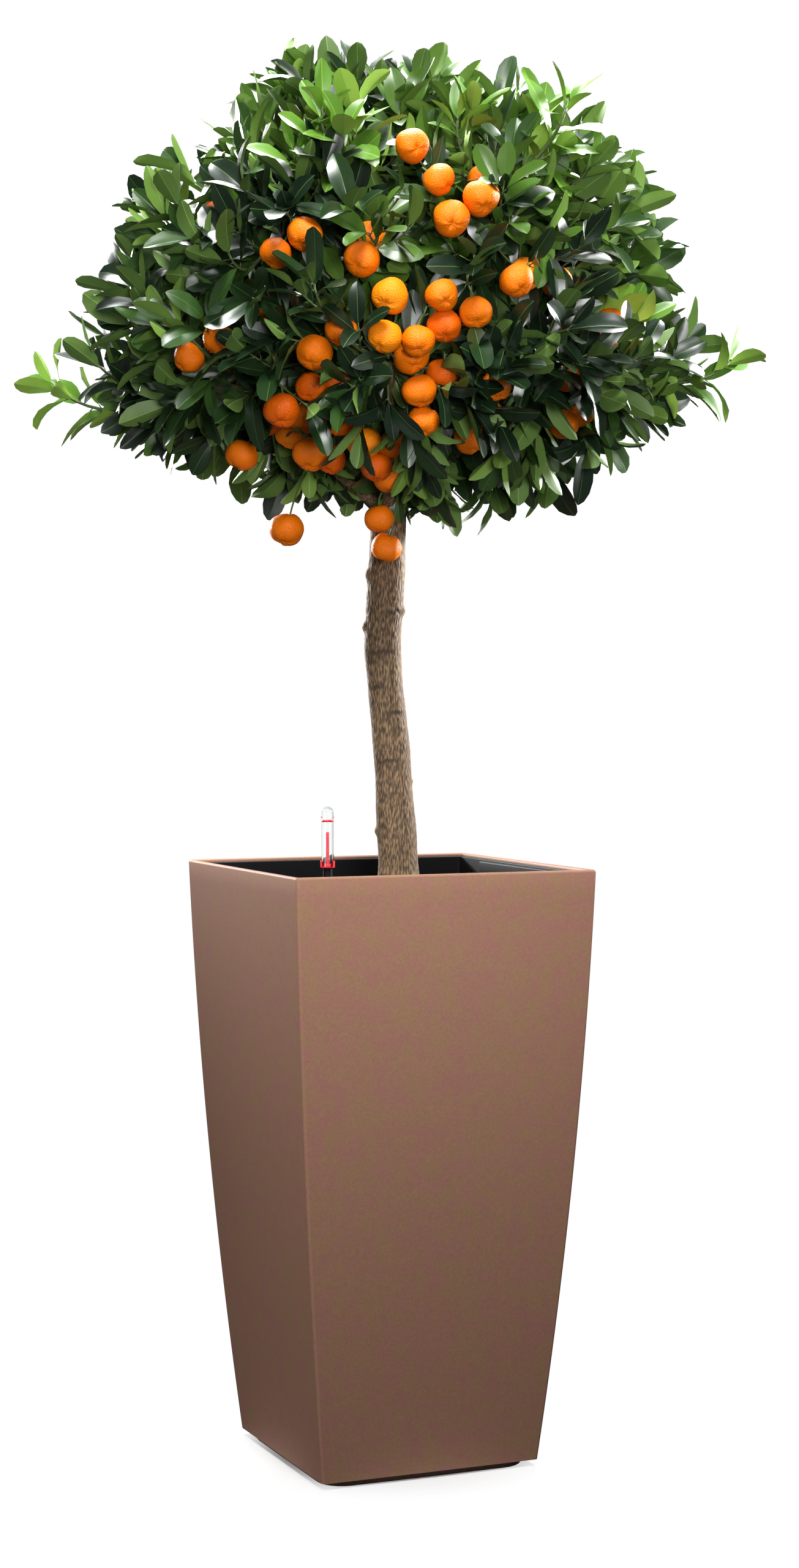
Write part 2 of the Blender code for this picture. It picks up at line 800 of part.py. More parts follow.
    def fill(self, point, rng):
        """One more leaf over a bare place, from the nearest twig or on a new one."""
        root = self.mass.heart
        for start, end in self.twigs:
            line = end - start
            part = (point - start).dot(line) / line.length_squared
            near = start + line * min(FILL_HIGHEST, max(FILL_LOWEST, part))
            if (point - near).length < (point - root).length:
                root = near
        outward = (point - crown_centre()).normalized()
        if (point - root).length > LEAF_LENGTH * FILL_REACH:
            twig = self.grow_twig(root.lerp(point, FILL_TWIG_SHARE))
            if twig is None:
                return
            root = twig[1] - (twig[1] - twig[0]).normalized() * TIP_LEAF_SINK
        along = (point - root).normalized()
        self.grow_leaf(root, along, (outward + UP * 0.3 - along * 0.2).normalized(), rng)


def spread_directions(count, turn):
    """Directions spread evenly over a sphere along a golden spiral."""
    found = []
    for number in range(count):
        z = 1.0 - 2.0 * (number + 0.5) / count
        level = math.sqrt(1.0 - z * z)
        angle = turn + GOLDEN_ANGLE * number
        found.append(heading(angle) * level + UP * z)
    return found


def nearest_mass(point, masses):
    return min(masses, key=lambda mass: (point - mass.heart).length_squared)


def shoot_targets(masses, rng):
    """Where each shoot's last leaf ends, as (mass, point) pairs, even on all sides."""
    targets = []
    for direction in spread_directions(SHOOT_COUNT, 0.6):
        surface = crown_centre() + direction * crown_reach(direction)
        mass = nearest_mass(surface, masses)
        depth = mass.reach * rng.uniform(0.90, 1.00)
        targets.append((mass, crown_centre() + (surface - crown_centre()) * depth))
    for degrees, height, distance in STRAY_SHOOTS:
        point = TO_RIGHT * CROWN_SHIFT + heading(math.radians(degrees)) * distance + UP * height
        targets.append((nearest_mass(point, masses), point))
    return targets


def on_front(side, height):
    """The point just under the crown's surface that the viewer sees at a side and height."""
    rise = height - CROWN_WAIST
    power = RISE_POWER if rise > 0.0 else DROP_POWER
    depth = CROWN_RISE if rise > 0.0 else CROWN_DROP
    level = max(0.0, FRUIT_DEPTH**power - (abs(rise) / depth) ** power) ** (1.0 / power)
    near = math.sqrt(max(0.0, (CROWN_RADIUS * level) ** 2 - side * side))
    return TO_RIGHT * (side + CROWN_SHIFT) + TO_VIEWER * near + UP * height


def fruit_targets(masses, rng):
    """Where each fruit hangs: the clusters that the viewer sees, then the far side's."""
    clusters = [(on_front(side, height), count) for side, height, count in FRONT_FRUIT]
    for number, direction in enumerate(spread_directions(4 * BACK_FRUIT, 2.0)):
        if direction.dot(TO_VIEWER) < -0.1 and abs(direction.z) < 0.75 and number % 2 == 0:
            place = crown_centre() + direction * crown_reach(direction) * FRUIT_DEPTH
            clusters.append((place, rng.choice((1, 1, 2))))
    targets = []
    for place, count in clusters:
        outward = (place - crown_centre()).normalized()
        across = outward.cross(UP).normalized()
        upward = across.cross(outward)
        for number in range(count):
            angle = GOLDEN_ANGLE * number + rng.uniform(-0.15, 0.15)
            spread = 2.0 * FRUIT_RADIUS * FRUIT_SPREAD * math.sqrt(number + 0.3)
            shift = across * math.cos(angle) + upward * math.sin(angle)
            point = place + shift * spread * (0.0 if count == 1 else 1.0)
            targets.append((nearest_mass(point, masses), point))
    return targets


def islands(shape):
    """The separate bodies of a bmesh, each a set of its faces."""
    left = set(shape.faces)
    found = []
    while left:
        body = set()
        edge_of = [left.pop()]
        while edge_of:
            face = edge_of.pop()
            body.add(face)
            for edge in face.edges:
                for near in edge.link_faces:
                    if near in left:
                        left.remove(near)
                        edge_of.append(near)
        found.append(body)
    return found


def largest_body_only(mesh):
    """Drops loose scraps and fills sealed hollows: only the largest body stays."""
    shape = bmesh.new()
    shape.from_mesh(mesh)
    bmesh.ops.triangulate(shape, faces=shape.faces)
    bodies = islands(shape)
    keep = max(bodies, key=len)
    scraps = [face for body in bodies if body is not keep for face in body]
    bmesh.ops.delete(shape, geom=scraps, context="FACES")
    shape.to_mesh(mesh)
    shape.free()


def join_mass(name, pieces, collection, material):
    """One solid made of the pieces by a Boolean union on their collection."""
    loose = new_collection(name + "_pieces")
    body = mesh_object(name, mesh_from(pieces[0], name), collection, None)
    for number, shape in enumerate(pieces[1:]):
        mesh_object(f"{name}_piece_{number}", mesh_from(shape, name), loose)
    union = body.modifiers.new("union", "BOOLEAN")
    union.operation = "UNION"
    union.operand_type = "COLLECTION"
    union.collection = loose
    union.solver = "MANIFOLD"
    bpy.context.view_layer.update()
    graph = bpy.context.evaluated_depsgraph_get()
    joined = bpy.data.meshes.new_from_object(body.evaluated_get(graph))
    body.modifiers.clear()
    body.data = joined
    for obj in list(loose.objects):
        bpy.data.objects.remove(obj)
    bpy.data.collections.remove(loose)
    largest_body_only(joined)
    joined.materials.clear()
    joined.materials.append(material)


def grow_crown(masses, limbs, collection, green):
    """Every mass: its heart and stem first, then its fruit, then its leafy shoots."""
    rng = random.Random(SEED)
    tree = limb_tree(limbs)
    grown = {mass: Foliage(mass, masses, limbs, tree) for mass in masses}
    for foliage in grown.values():
        foliage.grow_heart()
    shoots = shoot_targets(masses, rng)
    for mass, point in fruit_targets(masses, rng):
        grown[mass].grow_fruit(point, rng.uniform(0.0, math.pi))
    for mass, point in shoots:
        grown[mass].grow_shoot(point, rng)
    middles = [middle for foliage in grown.values() for middle in foliage.leaf_middles]
    for direction in spread_directions(FILL_COUNT, 1.1):
        point = crown_centre() + direction * crown_reach(direction) * FILL_DEPTH
        if min((point - middle).length for middle in middles) > FILL_SPACING:
            foliage = grown[nearest_mass(point, masses)]
            foliage.fill(point, rng)
            middles += foliage.leaf_middles[-1:]
    for mass, foliage in grown.items():
        join_mass(mass.name, foliage.pieces, collection, green)


def stand_on_foot(collection, cutters):
    """Lifts everything but the foot by an empty at the height of the planter's underside."""
    underside = bpy.data.objects.new("planter_underside", None)
    underside.location = UP * STAND
    carried = [*collection.objects, *cutters.objects]
    collection.objects.link(underside)
    for obj in carried:
        if obj.name != "planter_base":
            obj.parent = underside


def main():
    clear_scene()
    parts = new_collection("calamondin_orange_tree")
    cutters = new_collection("cutters")
    black = finish("black_plastic", (0.012, 0.012, 0.014), 0.5)
    bark = finish("bark", (0.20, 0.14, 0.08), 0.85)
    green = finish("foliage", (0.03, 0.09, 0.02), 0.45)
    planter_shell(parts)
    planter_base(parts)
    planter_liner(parts, black)
    soil(parts)
    grip("liner_grip_right", 1.0, parts, black)
    grip("liner_grip_left", -1.0, parts, black)
    level_indicator(parts, black)
    cutter = trunk(parts, cutters, bark)
    masses = all_masses()
    limbs = limb_segments([trunk_point(height) for height, _, _ in TRUNK_STATIONS])
    for mass in masses:
        limbs += limb_segments(bough(mass, parts, cutter, bark))
    grow_crown(masses, limbs, parts, green)
    stand_on_foot(parts, cutters)


main()
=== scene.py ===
"""The looks of a calamondin orange tree in its tall square planter.

Metres, +Z up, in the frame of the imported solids. The planter, the gauge, the trunk and the
boughs are finer meshes of the same shapes. The crown grows on from the boughs by the rule that
the solids grow by, carried on to finer twigs with leaves of life size. Every height but the
foot's is measured from the planter's underside, which the foot lifts off the ground.
"""

import json
import math
import random
from collections import namedtuple

import bpy
import numpy as np
from mathutils import Matrix, Vector, noise

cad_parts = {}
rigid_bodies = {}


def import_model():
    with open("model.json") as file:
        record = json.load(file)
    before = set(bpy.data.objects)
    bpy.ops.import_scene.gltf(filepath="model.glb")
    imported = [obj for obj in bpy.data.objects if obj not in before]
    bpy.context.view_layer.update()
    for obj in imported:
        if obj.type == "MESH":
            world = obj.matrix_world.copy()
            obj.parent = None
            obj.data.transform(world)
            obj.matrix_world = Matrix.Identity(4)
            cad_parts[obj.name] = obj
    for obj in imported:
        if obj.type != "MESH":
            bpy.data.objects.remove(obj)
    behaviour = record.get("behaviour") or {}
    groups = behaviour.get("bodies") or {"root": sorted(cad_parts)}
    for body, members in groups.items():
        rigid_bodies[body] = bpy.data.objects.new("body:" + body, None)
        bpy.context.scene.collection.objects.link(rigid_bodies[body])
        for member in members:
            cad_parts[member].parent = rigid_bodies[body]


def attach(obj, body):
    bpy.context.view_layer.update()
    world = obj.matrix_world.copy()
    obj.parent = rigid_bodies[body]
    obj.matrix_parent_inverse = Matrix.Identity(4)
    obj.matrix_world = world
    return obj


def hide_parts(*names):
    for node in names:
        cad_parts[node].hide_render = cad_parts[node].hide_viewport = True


GAP = 0.0003
CENTRE_HALF = 0.0005
AXIS_RADIUS = 0.0001
GOLDEN_ANGLE = math.pi * (3.0 - math.sqrt(5.0))
SEED = 11
UP = Vector((0.0, 0.0, 1.0))

# Camera, and the level directions that it gives
LENS = 64.83
SENSOR = 36.0
CAMERA_PLACE = (-1.047, -2.496, 0.7335)
CAMERA_YAW = math.radians(23.02)
CAMERA_PITCH = math.radians(-1.90)
VIEW_TURN = math.radians(23.0)
TO_VIEWER = Vector((-math.sin(VIEW_TURN), -math.cos(VIEW_TURN), 0.0))
TO_RIGHT = Vector((math.cos(VIEW_TURN), -math.sin(VIEW_TURN), 0.0))

# Foot: a dark plinth that lifts the planter's underside off the ground
STAND = 0.0065
BASE_HALF_WIDTH = 0.103
BASE_CORNER = 0.024
BASE_EDGE = 0.0012
BASE_STEP = (0.60, 0.65)

# Planter: a square vessel whose sides curve in towards its foot
PLANTER_HEIGHT = 0.560
PLANTER_HALF_WIDTH = 0.150
TAPER_STRAIGHT = 0.0196
TAPER_CURVED = 0.0209
WALL = 0.005
RIM_RADIUS = 0.0025
CORNER_ROUNDING = 0.003
FLOOR_UNDERSIDE = 0.010
FLOOR_THICKNESS = 0.004
WALL_RINGS = 36
CORNER_STEPS = 6
EDGE_STEPS = 6

# Liner, its grips and the potting mix
LINER_WALL = 0.0035
LINER_TOP = 0.557
LINER_FLOOR = 0.004
LINER_EDGE = 0.0012
SOIL_TOP = 0.530
SOIL_RELIEF = 0.0035
SOIL_CELLS = 110
CRUMB_COUNT = 1500
CRUMB_SIZES = (0.0008, 0.0022)
CHIP_SIZES = (0.0022, 0.0045)
CHIP_SHARE = 0.12
CRUMB_SPREAD = 0.97
CRUMB_TOP = SOIL_TOP + 0.003
GRIP_LENGTH = 0.165
GRIP_HEIGHT = 0.012
GRIP_THICKNESS = 0.005
GRIP_TOP = 0.5555
GRIP_ROUNDING = 0.0016
GRIP_HOLE_PLACE = 0.030
GRIP_HOLE_RADIUS = 0.0014
GRIP_HOLE_DEPTH = 0.0010

# The soil's unevenness: waves in a metre, layer of the noise, share of the relief
SOIL_WAVES = (
    (22.0, 0.3, 0.50),
    (75.0, 4.1, 0.35),
    (260.0, 9.7, 0.25),
)

# Water level gauge
GAUGE_PLACE = np.array((-0.1035, -0.1080, 0.0))
TUBE_RADIUS = 0.0055
TUBE_WALL = 0.0010
TUBE_TOP = 0.6212
POST_RADIUS = 0.0042
CUP_BOTTOM = 0.5654
CUP_FLOOR = 0.5664
CUP_TOP = 0.5720
CUP_EDGE = 0.0010
CRADLE_RADIUS = 0.0067
CRADLE_HALF_ANGLE = 31.0
CLIP_TOP = 0.5758
CLIP_SLOPE = 0.0022
CLIP_HALF_ANGLE = 57.0
FLOAT_RADIUS = 0.0034
FLOAT_HEIGHT = 0.0026
FLOAT_EDGE = 0.0003
ROD_RADIUS = 0.0015
ROD_TOP = 0.5980
ROD_TAPER = 0.0006
MARK_HEIGHT = 0.6081
MARK_WIDTH = 0.0016
MARK_RELIEF = 0.00012
TICK_HEIGHT = 0.6117
TICK_RADIUS = 0.0006
TURNED_STEPS = 40

# Trunk stations: height, shift to the viewer's right, radius
TRUNK_STATIONS = (
    (0.5303, 0.0116, 0.0225),
    (0.5420, 0.0116, 0.0200),
    (0.5620, 0.0112, 0.0190),
    (0.5940, 0.0098, 0.0187),
    (0.6280, 0.0076, 0.0176),
    (0.6800, 0.0045, 0.0173),
    (0.7340, -0.0016, 0.0171),
    (0.7700, -0.0044, 0.0174),
    (0.8050, -0.0016, 0.0177),
    (0.8400, 0.0000, 0.0176),
    (0.9000, 0.0020, 0.0164),
    (0.9500, 0.0034, 0.0150),
    (0.9950, 0.0046, 0.0135),
)
TRUNK_RINGS = 300
TRUNK_SIDES = 300
RIDGE_PITCH = 0.0012
RIDGE_STRETCH = 4.2
RIDGE_DEPTH = 0.00030
LUMP_PITCH = 0.030
LUMP_DEPTH = 0.0009
KINK_REACH = 0.012

# Knobs on the trunk: height, turn from the viewer in degrees, how far it stands out, its size
KNOBS = (
    (0.788, -88.0, 0.0030, 0.0075),
    (0.592, -85.0, 0.0024, 0.0070),
    (0.838, -80.0, 0.0030, 0.0100),
    (0.803, 82.0, 0.0028, 0.0080),
    (0.700, 150.0, 0.0030, 0.0090),
    (0.640, 95.0, 0.0012, 0.0040),
)

# Scars across the bark: height, turn in degrees, half its width in degrees
SCARS = (
    (0.802, 35.0, 40.0),
    (0.763, -10.0, 60.0),
    (0.729, -35.0, 45.0),
    (0.705, 30.0, 45.0),
    (0.659, -15.0, 45.0),
    (0.744, 170.0, 60.0),
    (0.618, 200.0, 50.0),
    (0.548, -20.0, 70.0),
)
SCAR_HEIGHT = 0.0022

# Crown: the surface that its leaf tips reach, round its waist
CROWN_SHIFT = 0.006
CROWN_WAIST = 1.070
CROWN_RADIUS = 0.305
CROWN_RISE = 0.288
CROWN_DROP = 0.205
RISE_POWER = 2.7
DROP_POWER = 2.0

# Rings of foliage masses: distance from the crown's axis and height of each heart
LOWER_COUNT = 7
LOWER_DISTANCE = 0.180
LOWER_HEIGHT = 1.015
LOWER_STEP = 3
LOWER_FORK = 0.884
LOWER_REACH = (1.00, 1.04, 1.06, 0.98, 1.00, 1.05, 1.04)
UPPER_COUNT = 5
UPPER_DISTANCE = 0.155
UPPER_HEIGHT = 1.180
UPPER_STEP = 2
UPPER_FORK = 0.939
UPPER_REACH = (1.00, 0.97, 1.00, 1.01, 1.03)
TOP_HEIGHT = 1.225
TOP_REACH = 1.00
FORK_SPACING = 0.0085

# Boughs
BOUGH_ROOT_RADIUS = 0.0068
BOUGH_TIP_RADIUS = 0.0044
BOUGH_STRAIGHT = 0.012
BOUGH_BEND_OUT = 0.045
BOUGH_BEND_UP = 0.012
LEADER_RISE = 0.018
LEADER_ROOT_RADIUS = 0.0095
HEART_RADIUS = 0.040
STEM_LENGTH = 0.032
BOUGH_RINGS = 60
BOUGH_SIDES = 26
BOUGH_RELIEF = 0.00030

# Twigs
SHOOT_COUNT = 124
SHOOT_DEPTHS = (0.90, 1.00)
DEPTH_SPREAD = 1.8
SHOULDER_ROOM = 0.10
UNDERSIDE_ROOM = 0.20
FORK_GAIN = 0.8
FORK_STRAIGHTNESS = 0.72
LIMB_RADIUS = 0.0036
TWIG_ROOT_RADIUS = 0.0026
TWIG_TIP_RADIUS = 0.0011
SHOOT_TIP_RADIUS = 0.0009
TIP_ROOM = 0.051
TIP_LIFT = 1.0
SIDE_ROOM = 0.058
SIDE_SHOOT_SPACING = 0.016
SIDE_SHOOT_FIRST = 0.020
SIDE_SHOOT_LENGTH = 0.078
SIDE_SHOOT_SPREAD = 0.85
SIDE_SHOOT_SPACINGS = (0.8, 1.2)
SIDE_SHOOT_SIZES = (0.6, 1.0)
SIDE_SHOOT_LIFT = 0.6
SIDE_SHOOT_OUTWARD = 0.45
FULL_LENGTH_AT = 0.09
END_LENGTH_SHARE = 0.35
SAME_SPRAY_SHARE = 0.65
SHORTEST_SHOOT = 0.012
SHOOT_POINTS = 6

# Shoots that stand out of the crown: turn from the front in degrees, height, distance
STRAY_SHOOTS = (
    (-92.0, 1.050, 0.364),
    (88.0, 1.075, 0.356),
    (-150.0, 1.120, 0.330),
    (40.0, 1.290, 0.262),
)

# Upright shoots that stand a little proud of the crown's top, written in the same way
PROUD_SHOOTS = (
    (-85.0, 1.340, 0.112),
    (60.0, 1.338, 0.040),
)

# Leaves
LEAF_LENGTH = 0.046
LEAF_ASPECT = 0.46
LEAF_SPACING = 0.0070
LEAFY_LENGTH = 0.110
PETIOLE_LENGTH = 0.0055
PETIOLE_RADIUS = 0.0007
LEAF_THICKNESS = 0.0004
RIB_HALF_WIDTH = 0.00032
LEAF_ROWS = (0.0, 0.13, 0.32, 0.54, 0.76, 0.92, 1.0)
LEAF_COLUMNS = (-1.0, -0.52, 0.0, 0.0, 0.52, 1.0)
RIB_COLUMNS = (0.0, 0.0, -1.0, 1.0, 0.0, 0.0)
LEAF_DEPTHS = (0.0, 1.0, 2.2, 2.2, 1.0, 0.0)
LEAF_TRIANGLES = (len(LEAF_ROWS) - 1) * (len(LEAF_COLUMNS) - 1) * 2 * 2
MOST_TRIANGLES = 190000
TIP_LEAVES = 3
TIP_SPACING = 0.0035

# Colour of a spray's leaves: share of young sprays and lightness, at the waist and more on top.
# Lighter on top is partly younger leaves and partly painted light, for sun glowing through them.
YOUNG_SHARE = 0.02
YOUNG_ON_TOP = 0.10
LIGHTNESS = 0.9
TOP_YOUTH_AND_PAINTED_GLOW = 2.1
LIGHTNESS_SPREAD = 0.9

# How leaves vary: least and most, or mean and spread
TIP_ANGLES = (0.30, 0.62)
SIDE_ANGLES = (0.60, 1.05)
LEAF_SPACINGS = (0.8, 1.3)
LEAF_SIZES = (0.74, 1.16)
LEAF_WIDTHS = (LEAF_ASPECT * 0.86, LEAF_ASPECT * 1.14)
LEAF_BELLIES = (0.62, 0.92)
LEAF_TIPS = (0.50, 0.72)
LEAF_BENDS = (0.32, 0.34)
LEAF_TWISTS = (0.0, 0.30)
LEAF_FOLDS = (0.16, 0.74)
LEAF_WAVES = (0.02, 0.11)
LEAF_DROOP = 0.25
LEAF_TO_LIGHT = 0.40
LEAF_TO_OUTSIDE = 0.20
LEAF_JITTER = 0.20
YOUNG_TIP_SIZE = 0.84

# Places in a leaf piece's list of materials, the uppers from dark to young first
YOUNG = 4
RIB_SLOT = 5
UNDER_SLOT = 7
UNDER_RIB_SLOT = 10

# Fruit: side and height as the viewer sees each cluster on the crown, and its count
FRUIT_RADIUS = 0.0155
FRUIT_FLATNESS = 0.90
FRUIT_DEPTH = 0.90
FRUIT_SPREAD = 0.64
FRUIT_RINGS = 22
FRUIT_SIDES = 30
FRONT_FRUIT = (
    (0.047, 1.189, 1),
    (0.072, 1.150, 2),
    (0.020, 1.225, 1),
    (-0.030, 1.105, 1),
    (-0.002, 1.069, 1),
    (0.049, 1.070, 1),
    (0.084, 1.055, 1),
    (0.133, 1.088, 2),
    (-0.006, 1.030, 1),
    (0.038, 1.024, 2),
    (0.038, 0.978, 4),
    (0.106, 0.985, 1),
    (0.088, 0.933, 1),
    (-0.191, 1.020, 2),
    (-0.148, 0.930, 2),
    (-0.099, 0.967, 2),
    (-0.076, 0.925, 5),
    (-0.005, 0.905, 3),
    (0.199, 0.954, 2),
    (0.230, 1.044, 2),
    (-0.069, 1.018, 2),
    (-0.102, 1.114, 2),
)
BACK_FRUIT = 14
INNER_FRUIT = 40
INNER_DEPTH = 0.76
OPEN_SHARE = 0.25
FRUIT_SIZES = (0.90, 1.07)
FRUIT_TOUCH = 0.985
SETTLING_ROUNDS = 40
STALK_RADII = (0.0011, 0.0009)
STALK_SWING = 0.012

# Leaves near a fruit: the room left round it, how far before it a leaf hides it, and the
# share of such leaves that drop
LEAF_ROOM = 0.0025
HIDING_REACH = 0.12
BARED_SHARE = 0.06

# How far into the crown each sort of fruit is drawn, at least and at most
HANGING, OPEN, SHADED = range(3)
FRUIT_PULL = ((0.0, 0.0), (0.020, 0.044), (0.040, 0.064))

# Fruit that hangs below the crown: side, distance towards the viewer, height
HANGING_FRUIT = (
    (-0.012, 0.070, 0.886),
    (-0.006, 0.062, 0.861),
    (-0.098, 0.085, 0.876),
)

# Colours, in a screen's values of 0 to 255
PLANTER_BROWN = (144, 108, 90)
GAUGE_RED = (214, 22, 44)
SOIL_COLOURS = ((26, 18, 13), (56, 41, 30), (104, 82, 62))
CHIP_BROWN = (96, 66, 42)
BARK_COLOURS = ((62, 48, 33), (94, 74, 52), (130, 106, 78))
TWIG_GREEN = (70, 84, 44)
STALK_GREEN = (66, 84, 36)
UPPER_GREENS = ((16, 32, 17), (25, 45, 20), (39, 65, 24), (64, 94, 31), (80, 118, 38))
RIB_GREENS = ((60, 86, 40), (122, 154, 64))
UNDER_GREENS = ((84, 112, 50), (102, 134, 56), (136, 170, 68))
UNDER_RIB_GREEN = (124, 154, 82)
PEEL_COLOURS = {
    "peel_orange": (222, 108, 2),
    "peel_deep": (208, 88, 1),
    "peel_light": (230, 126, 6),
}

# Colours of the dark plastics, and the painted shadow of the grips' holes, in linear values
LINER_BLACK = (0.004, 0.004, 0.005)
FOOT_BROWN = (0.070, 0.040, 0.030)
HOLE_PAINTED_SHADOW = (0.002, 0.002, 0.002)

# Floor and light
FLOOR_RADIUS = 0.5
FLOOR_FADE = 0.18
WORLD_LIGHT = 0.11

# Soft boxes, placed by the viewer's right, towards the viewer and above the floor: name, place,
# height that it aims at on the plant's axis, width and height, watts, spread in degrees
LIGHTS = (
    ("left_back", (-1.5, -1.9, 1.60), 1.14, (0.7, 0.7), 15.0, 28.0),
    ("right_back", (1.9, -1.1, 1.60), 1.14, (0.7, 0.7), 16.0, 28.0),
    ("top_back", (0.0, -0.6, 2.60), 1.10, (1.4, 1.0), 51.0, 90.0),
    ("key", (0.0, 1.30, 2.30), 0.60, (0.8, 0.6), 6.4, 45.0),
    ("crown_front", (0.50, 2.60, 1.00), 1.00, (0.9, 0.6), 2.2, 30.0),
    ("left_fill", (-1.70, 1.50, 0.40), 0.20, (0.9, 0.9), 1.1, 45.0),
)


def srgb(colour):
    """A colour's linear values from its screen values of 0 to 255."""
    return tuple(
        (v / 255.0 / 12.92) if v <= 10.3 else ((v / 255.0 + 0.055) / 1.055) ** 2.4
        for v in colour
    )


class Shape:
    """Points and faces collected for one mesh, with a material number for each face."""

    def __init__(self):
        self.points = []
        self.faces = []
        self.numbers = []
        self.count = 0

    def add(self, points, faces, number=0):
        """Adds points (n, 3) and faces, as rows of point numbers."""
        points = np.asarray(points, float).reshape(-1, 3)
        faces = np.asarray(faces, int)
        self.points.append(points)
        self.faces += (faces + self.count).tolist()
        numbers = np.broadcast_to(np.asarray(number), (len(faces),))
        self.numbers.append(numbers)
        self.count += len(points)

    def triangles(self):
        return sum(len(face) - 2 for face in self.faces)

    def build(self, name, materials, body="plant", smooth=True, raised=STAND):
        mesh = bpy.data.meshes.new(name)
        mesh.from_pydata(np.concatenate(self.points).tolist(), [], self.faces)
        for material in materials:
            mesh.materials.append(material)
        numbers = np.concatenate(self.numbers).astype(np.int32)
        mesh.polygons.foreach_set("material_index", numbers)
        mesh.polygons.foreach_set("use_smooth", np.full(len(mesh.polygons), smooth))
        mesh.validate()
        mesh.update()
        obj = bpy.data.objects.new(name, mesh)
        obj.location.z = raised
        bpy.context.scene.collection.objects.link(obj)
        bpy.context.view_layer.update()
        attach(obj, body)
        return obj


def sharpen(obj, degrees):
    obj.data.set_sharp_from_angle(angle=math.radians(degrees))


def grid_faces(rows, columns, closed):
    """Faces of a grid of points, row by row. With closed, the last column meets the first."""
    row = np.arange(rows - 1)[:, None] * columns
    across = np.arange(columns if closed else columns - 1)[None, :]
    beside = (across + 1) % columns
    corners = (row + across, row + beside, row + columns + beside, row + columns + across)
    return np.stack(corners, -1).reshape(-1, 4)


def add_loft(shape, rings, number=0, cap_start=True, cap_end=True):
    """Joins closed rings (rows, columns, 3) into a skin, with flat ends where asked."""
    rows, columns = rings.shape[:2]
    first = shape.count
    shape.add(rings.reshape(-1, 3), grid_faces(rows, columns, True), number)
    last = first + (rows - 1) * columns
    if cap_start:
        shape.faces.append(list(range(first + columns - 1, first - 1, -1)))
        shape.numbers.append(np.array([number]))
    if cap_end:
        shape.faces.append(list(range(last, last + columns)))
        shape.numbers.append(np.array([number]))


def square_ring(half, height, rounding):
    """A square ring with round corners, anticlockwise seen from above."""
    rounding = min(rounding, half * 0.9)
    points = []
    for quarter in range(4):
        middle = math.radians(45.0 + 90.0 * quarter)
        corner = (half - rounding) * math.sqrt(2.0)
        for step in range(CORNER_STEPS + 1):
            angle = math.radians(90.0 * quarter) + math.pi / 2.0 * step / CORNER_STEPS
            x = corner * math.cos(middle) + rounding * math.cos(angle)
            y = corner * math.sin(middle) + rounding * math.sin(angle)
            points.append((x, y, height))
    return points


def square_body(profile, rounding):
    """Rings of a square body from its profile of (half width, height) points."""
    return np.array([square_ring(half, height, rounding) for half, height in profile])


def turned_rings(profile, steps=TURNED_STEPS):
    """Rings of a turned body from its profile of (radius, height) points."""
    angles = np.arange(steps) * 2.0 * math.pi / steps
    rings = [
        np.stack([r * np.cos(angles), r * np.sin(angles), np.full(steps, z)], -1)
        for r, z in profile
    ]
    return np.array(rings)


def outer_half(height):
    """Half the planter's outer width at a height."""
    down = 1.0 - height / PLANTER_HEIGHT
    return PLANTER_HALF_WIDTH - TAPER_STRAIGHT * down - TAPER_CURVED * down * down


def heights(low, high):
    return np.linspace(low, high, WALL_RINGS)


def arc(centre, radius, start, end, steps=EDGE_STEPS):
    """Profile points of an arc, by angles in degrees."""
    angles = np.radians(np.linspace(start, end, steps + 1))
    return [(centre[0] + radius * math.cos(a), centre[1] + radius * math.sin(a)) for a in angles]


def set_inputs(tree, node, **inputs):
    """Gives a node's inputs, named with _ for a space, a value or another node's output."""
    for name, value in inputs.items():
        socket = node.inputs[name.replace("_", " ")]
        if isinstance(value, bpy.types.NodeSocket):
            tree.links.new(value, socket)
        else:
            socket.default_value = value


def add_node(tree, kind, **inputs):
    node = tree.nodes.new(kind)
    set_inputs(tree, node, **inputs)
    return node


def plain(name, colour, roughness, **inputs):
    """A material of one colour, with other shader inputs set by name."""
    material = bpy.data.materials.new(name)
    material.use_nodes = True
    set_shader(material, Base_Color=(*colour, 1.0), Roughness=roughness, **inputs)
    return material


def set_shader(material, **inputs):
    tree = material.node_tree
    set_inputs(tree, tree.nodes["Principled BSDF"], **inputs)


def coordinates(tree, stretch=(1.0, 1.0, 1.0)):
    """The object's own coordinates, in metres, stretched along each axis."""
    place = add_node(tree, "ShaderNodeTexCoord").outputs["Object"]
    return add_node(tree, "ShaderNodeMapping", Vector=place, Scale=stretch).outputs["Vector"]


def noise_value(tree, place, scale, detail=2.0, roughness=0.5):
    values = {"Scale": scale, "Detail": detail, "Roughness": roughness}
    return add_node(tree, "ShaderNodeTexNoise", Vector=place, **values).outputs["Fac"]


def ramp(tree, value, stops):
    """A colour ramp over (position, colour) stops."""
    node = add_node(tree, "ShaderNodeValToRGB", Fac=value)
    elements = node.color_ramp.elements
    while len(elements) < len(stops):
        elements.new(0.5)
    for element, (position, colour) in zip(elements, stops):
        element.position = position
        element.color = (*colour, 1.0)
    return node.outputs["Color"]


def multiply(tree, first, second):
    """The product of two colour outputs."""
    node = tree.nodes.new("ShaderNodeMix")
    node.data_type = "RGBA"
    node.blend_type = "MULTIPLY"
    set_inputs(tree, node, Factor=1.0, A=first, B=second)
    return node.outputs["Result"]


def bump(material, height, strength, distance):
    tree = material.node_tree
    values = {"Strength": strength, "Distance": distance}
    node = add_node(tree, "ShaderNodeBump", Height=height, **values)
    set_shader(material, Normal=node.outputs["Normal"])


def scaled(colour, share):
    return tuple(value * share for value in colour)


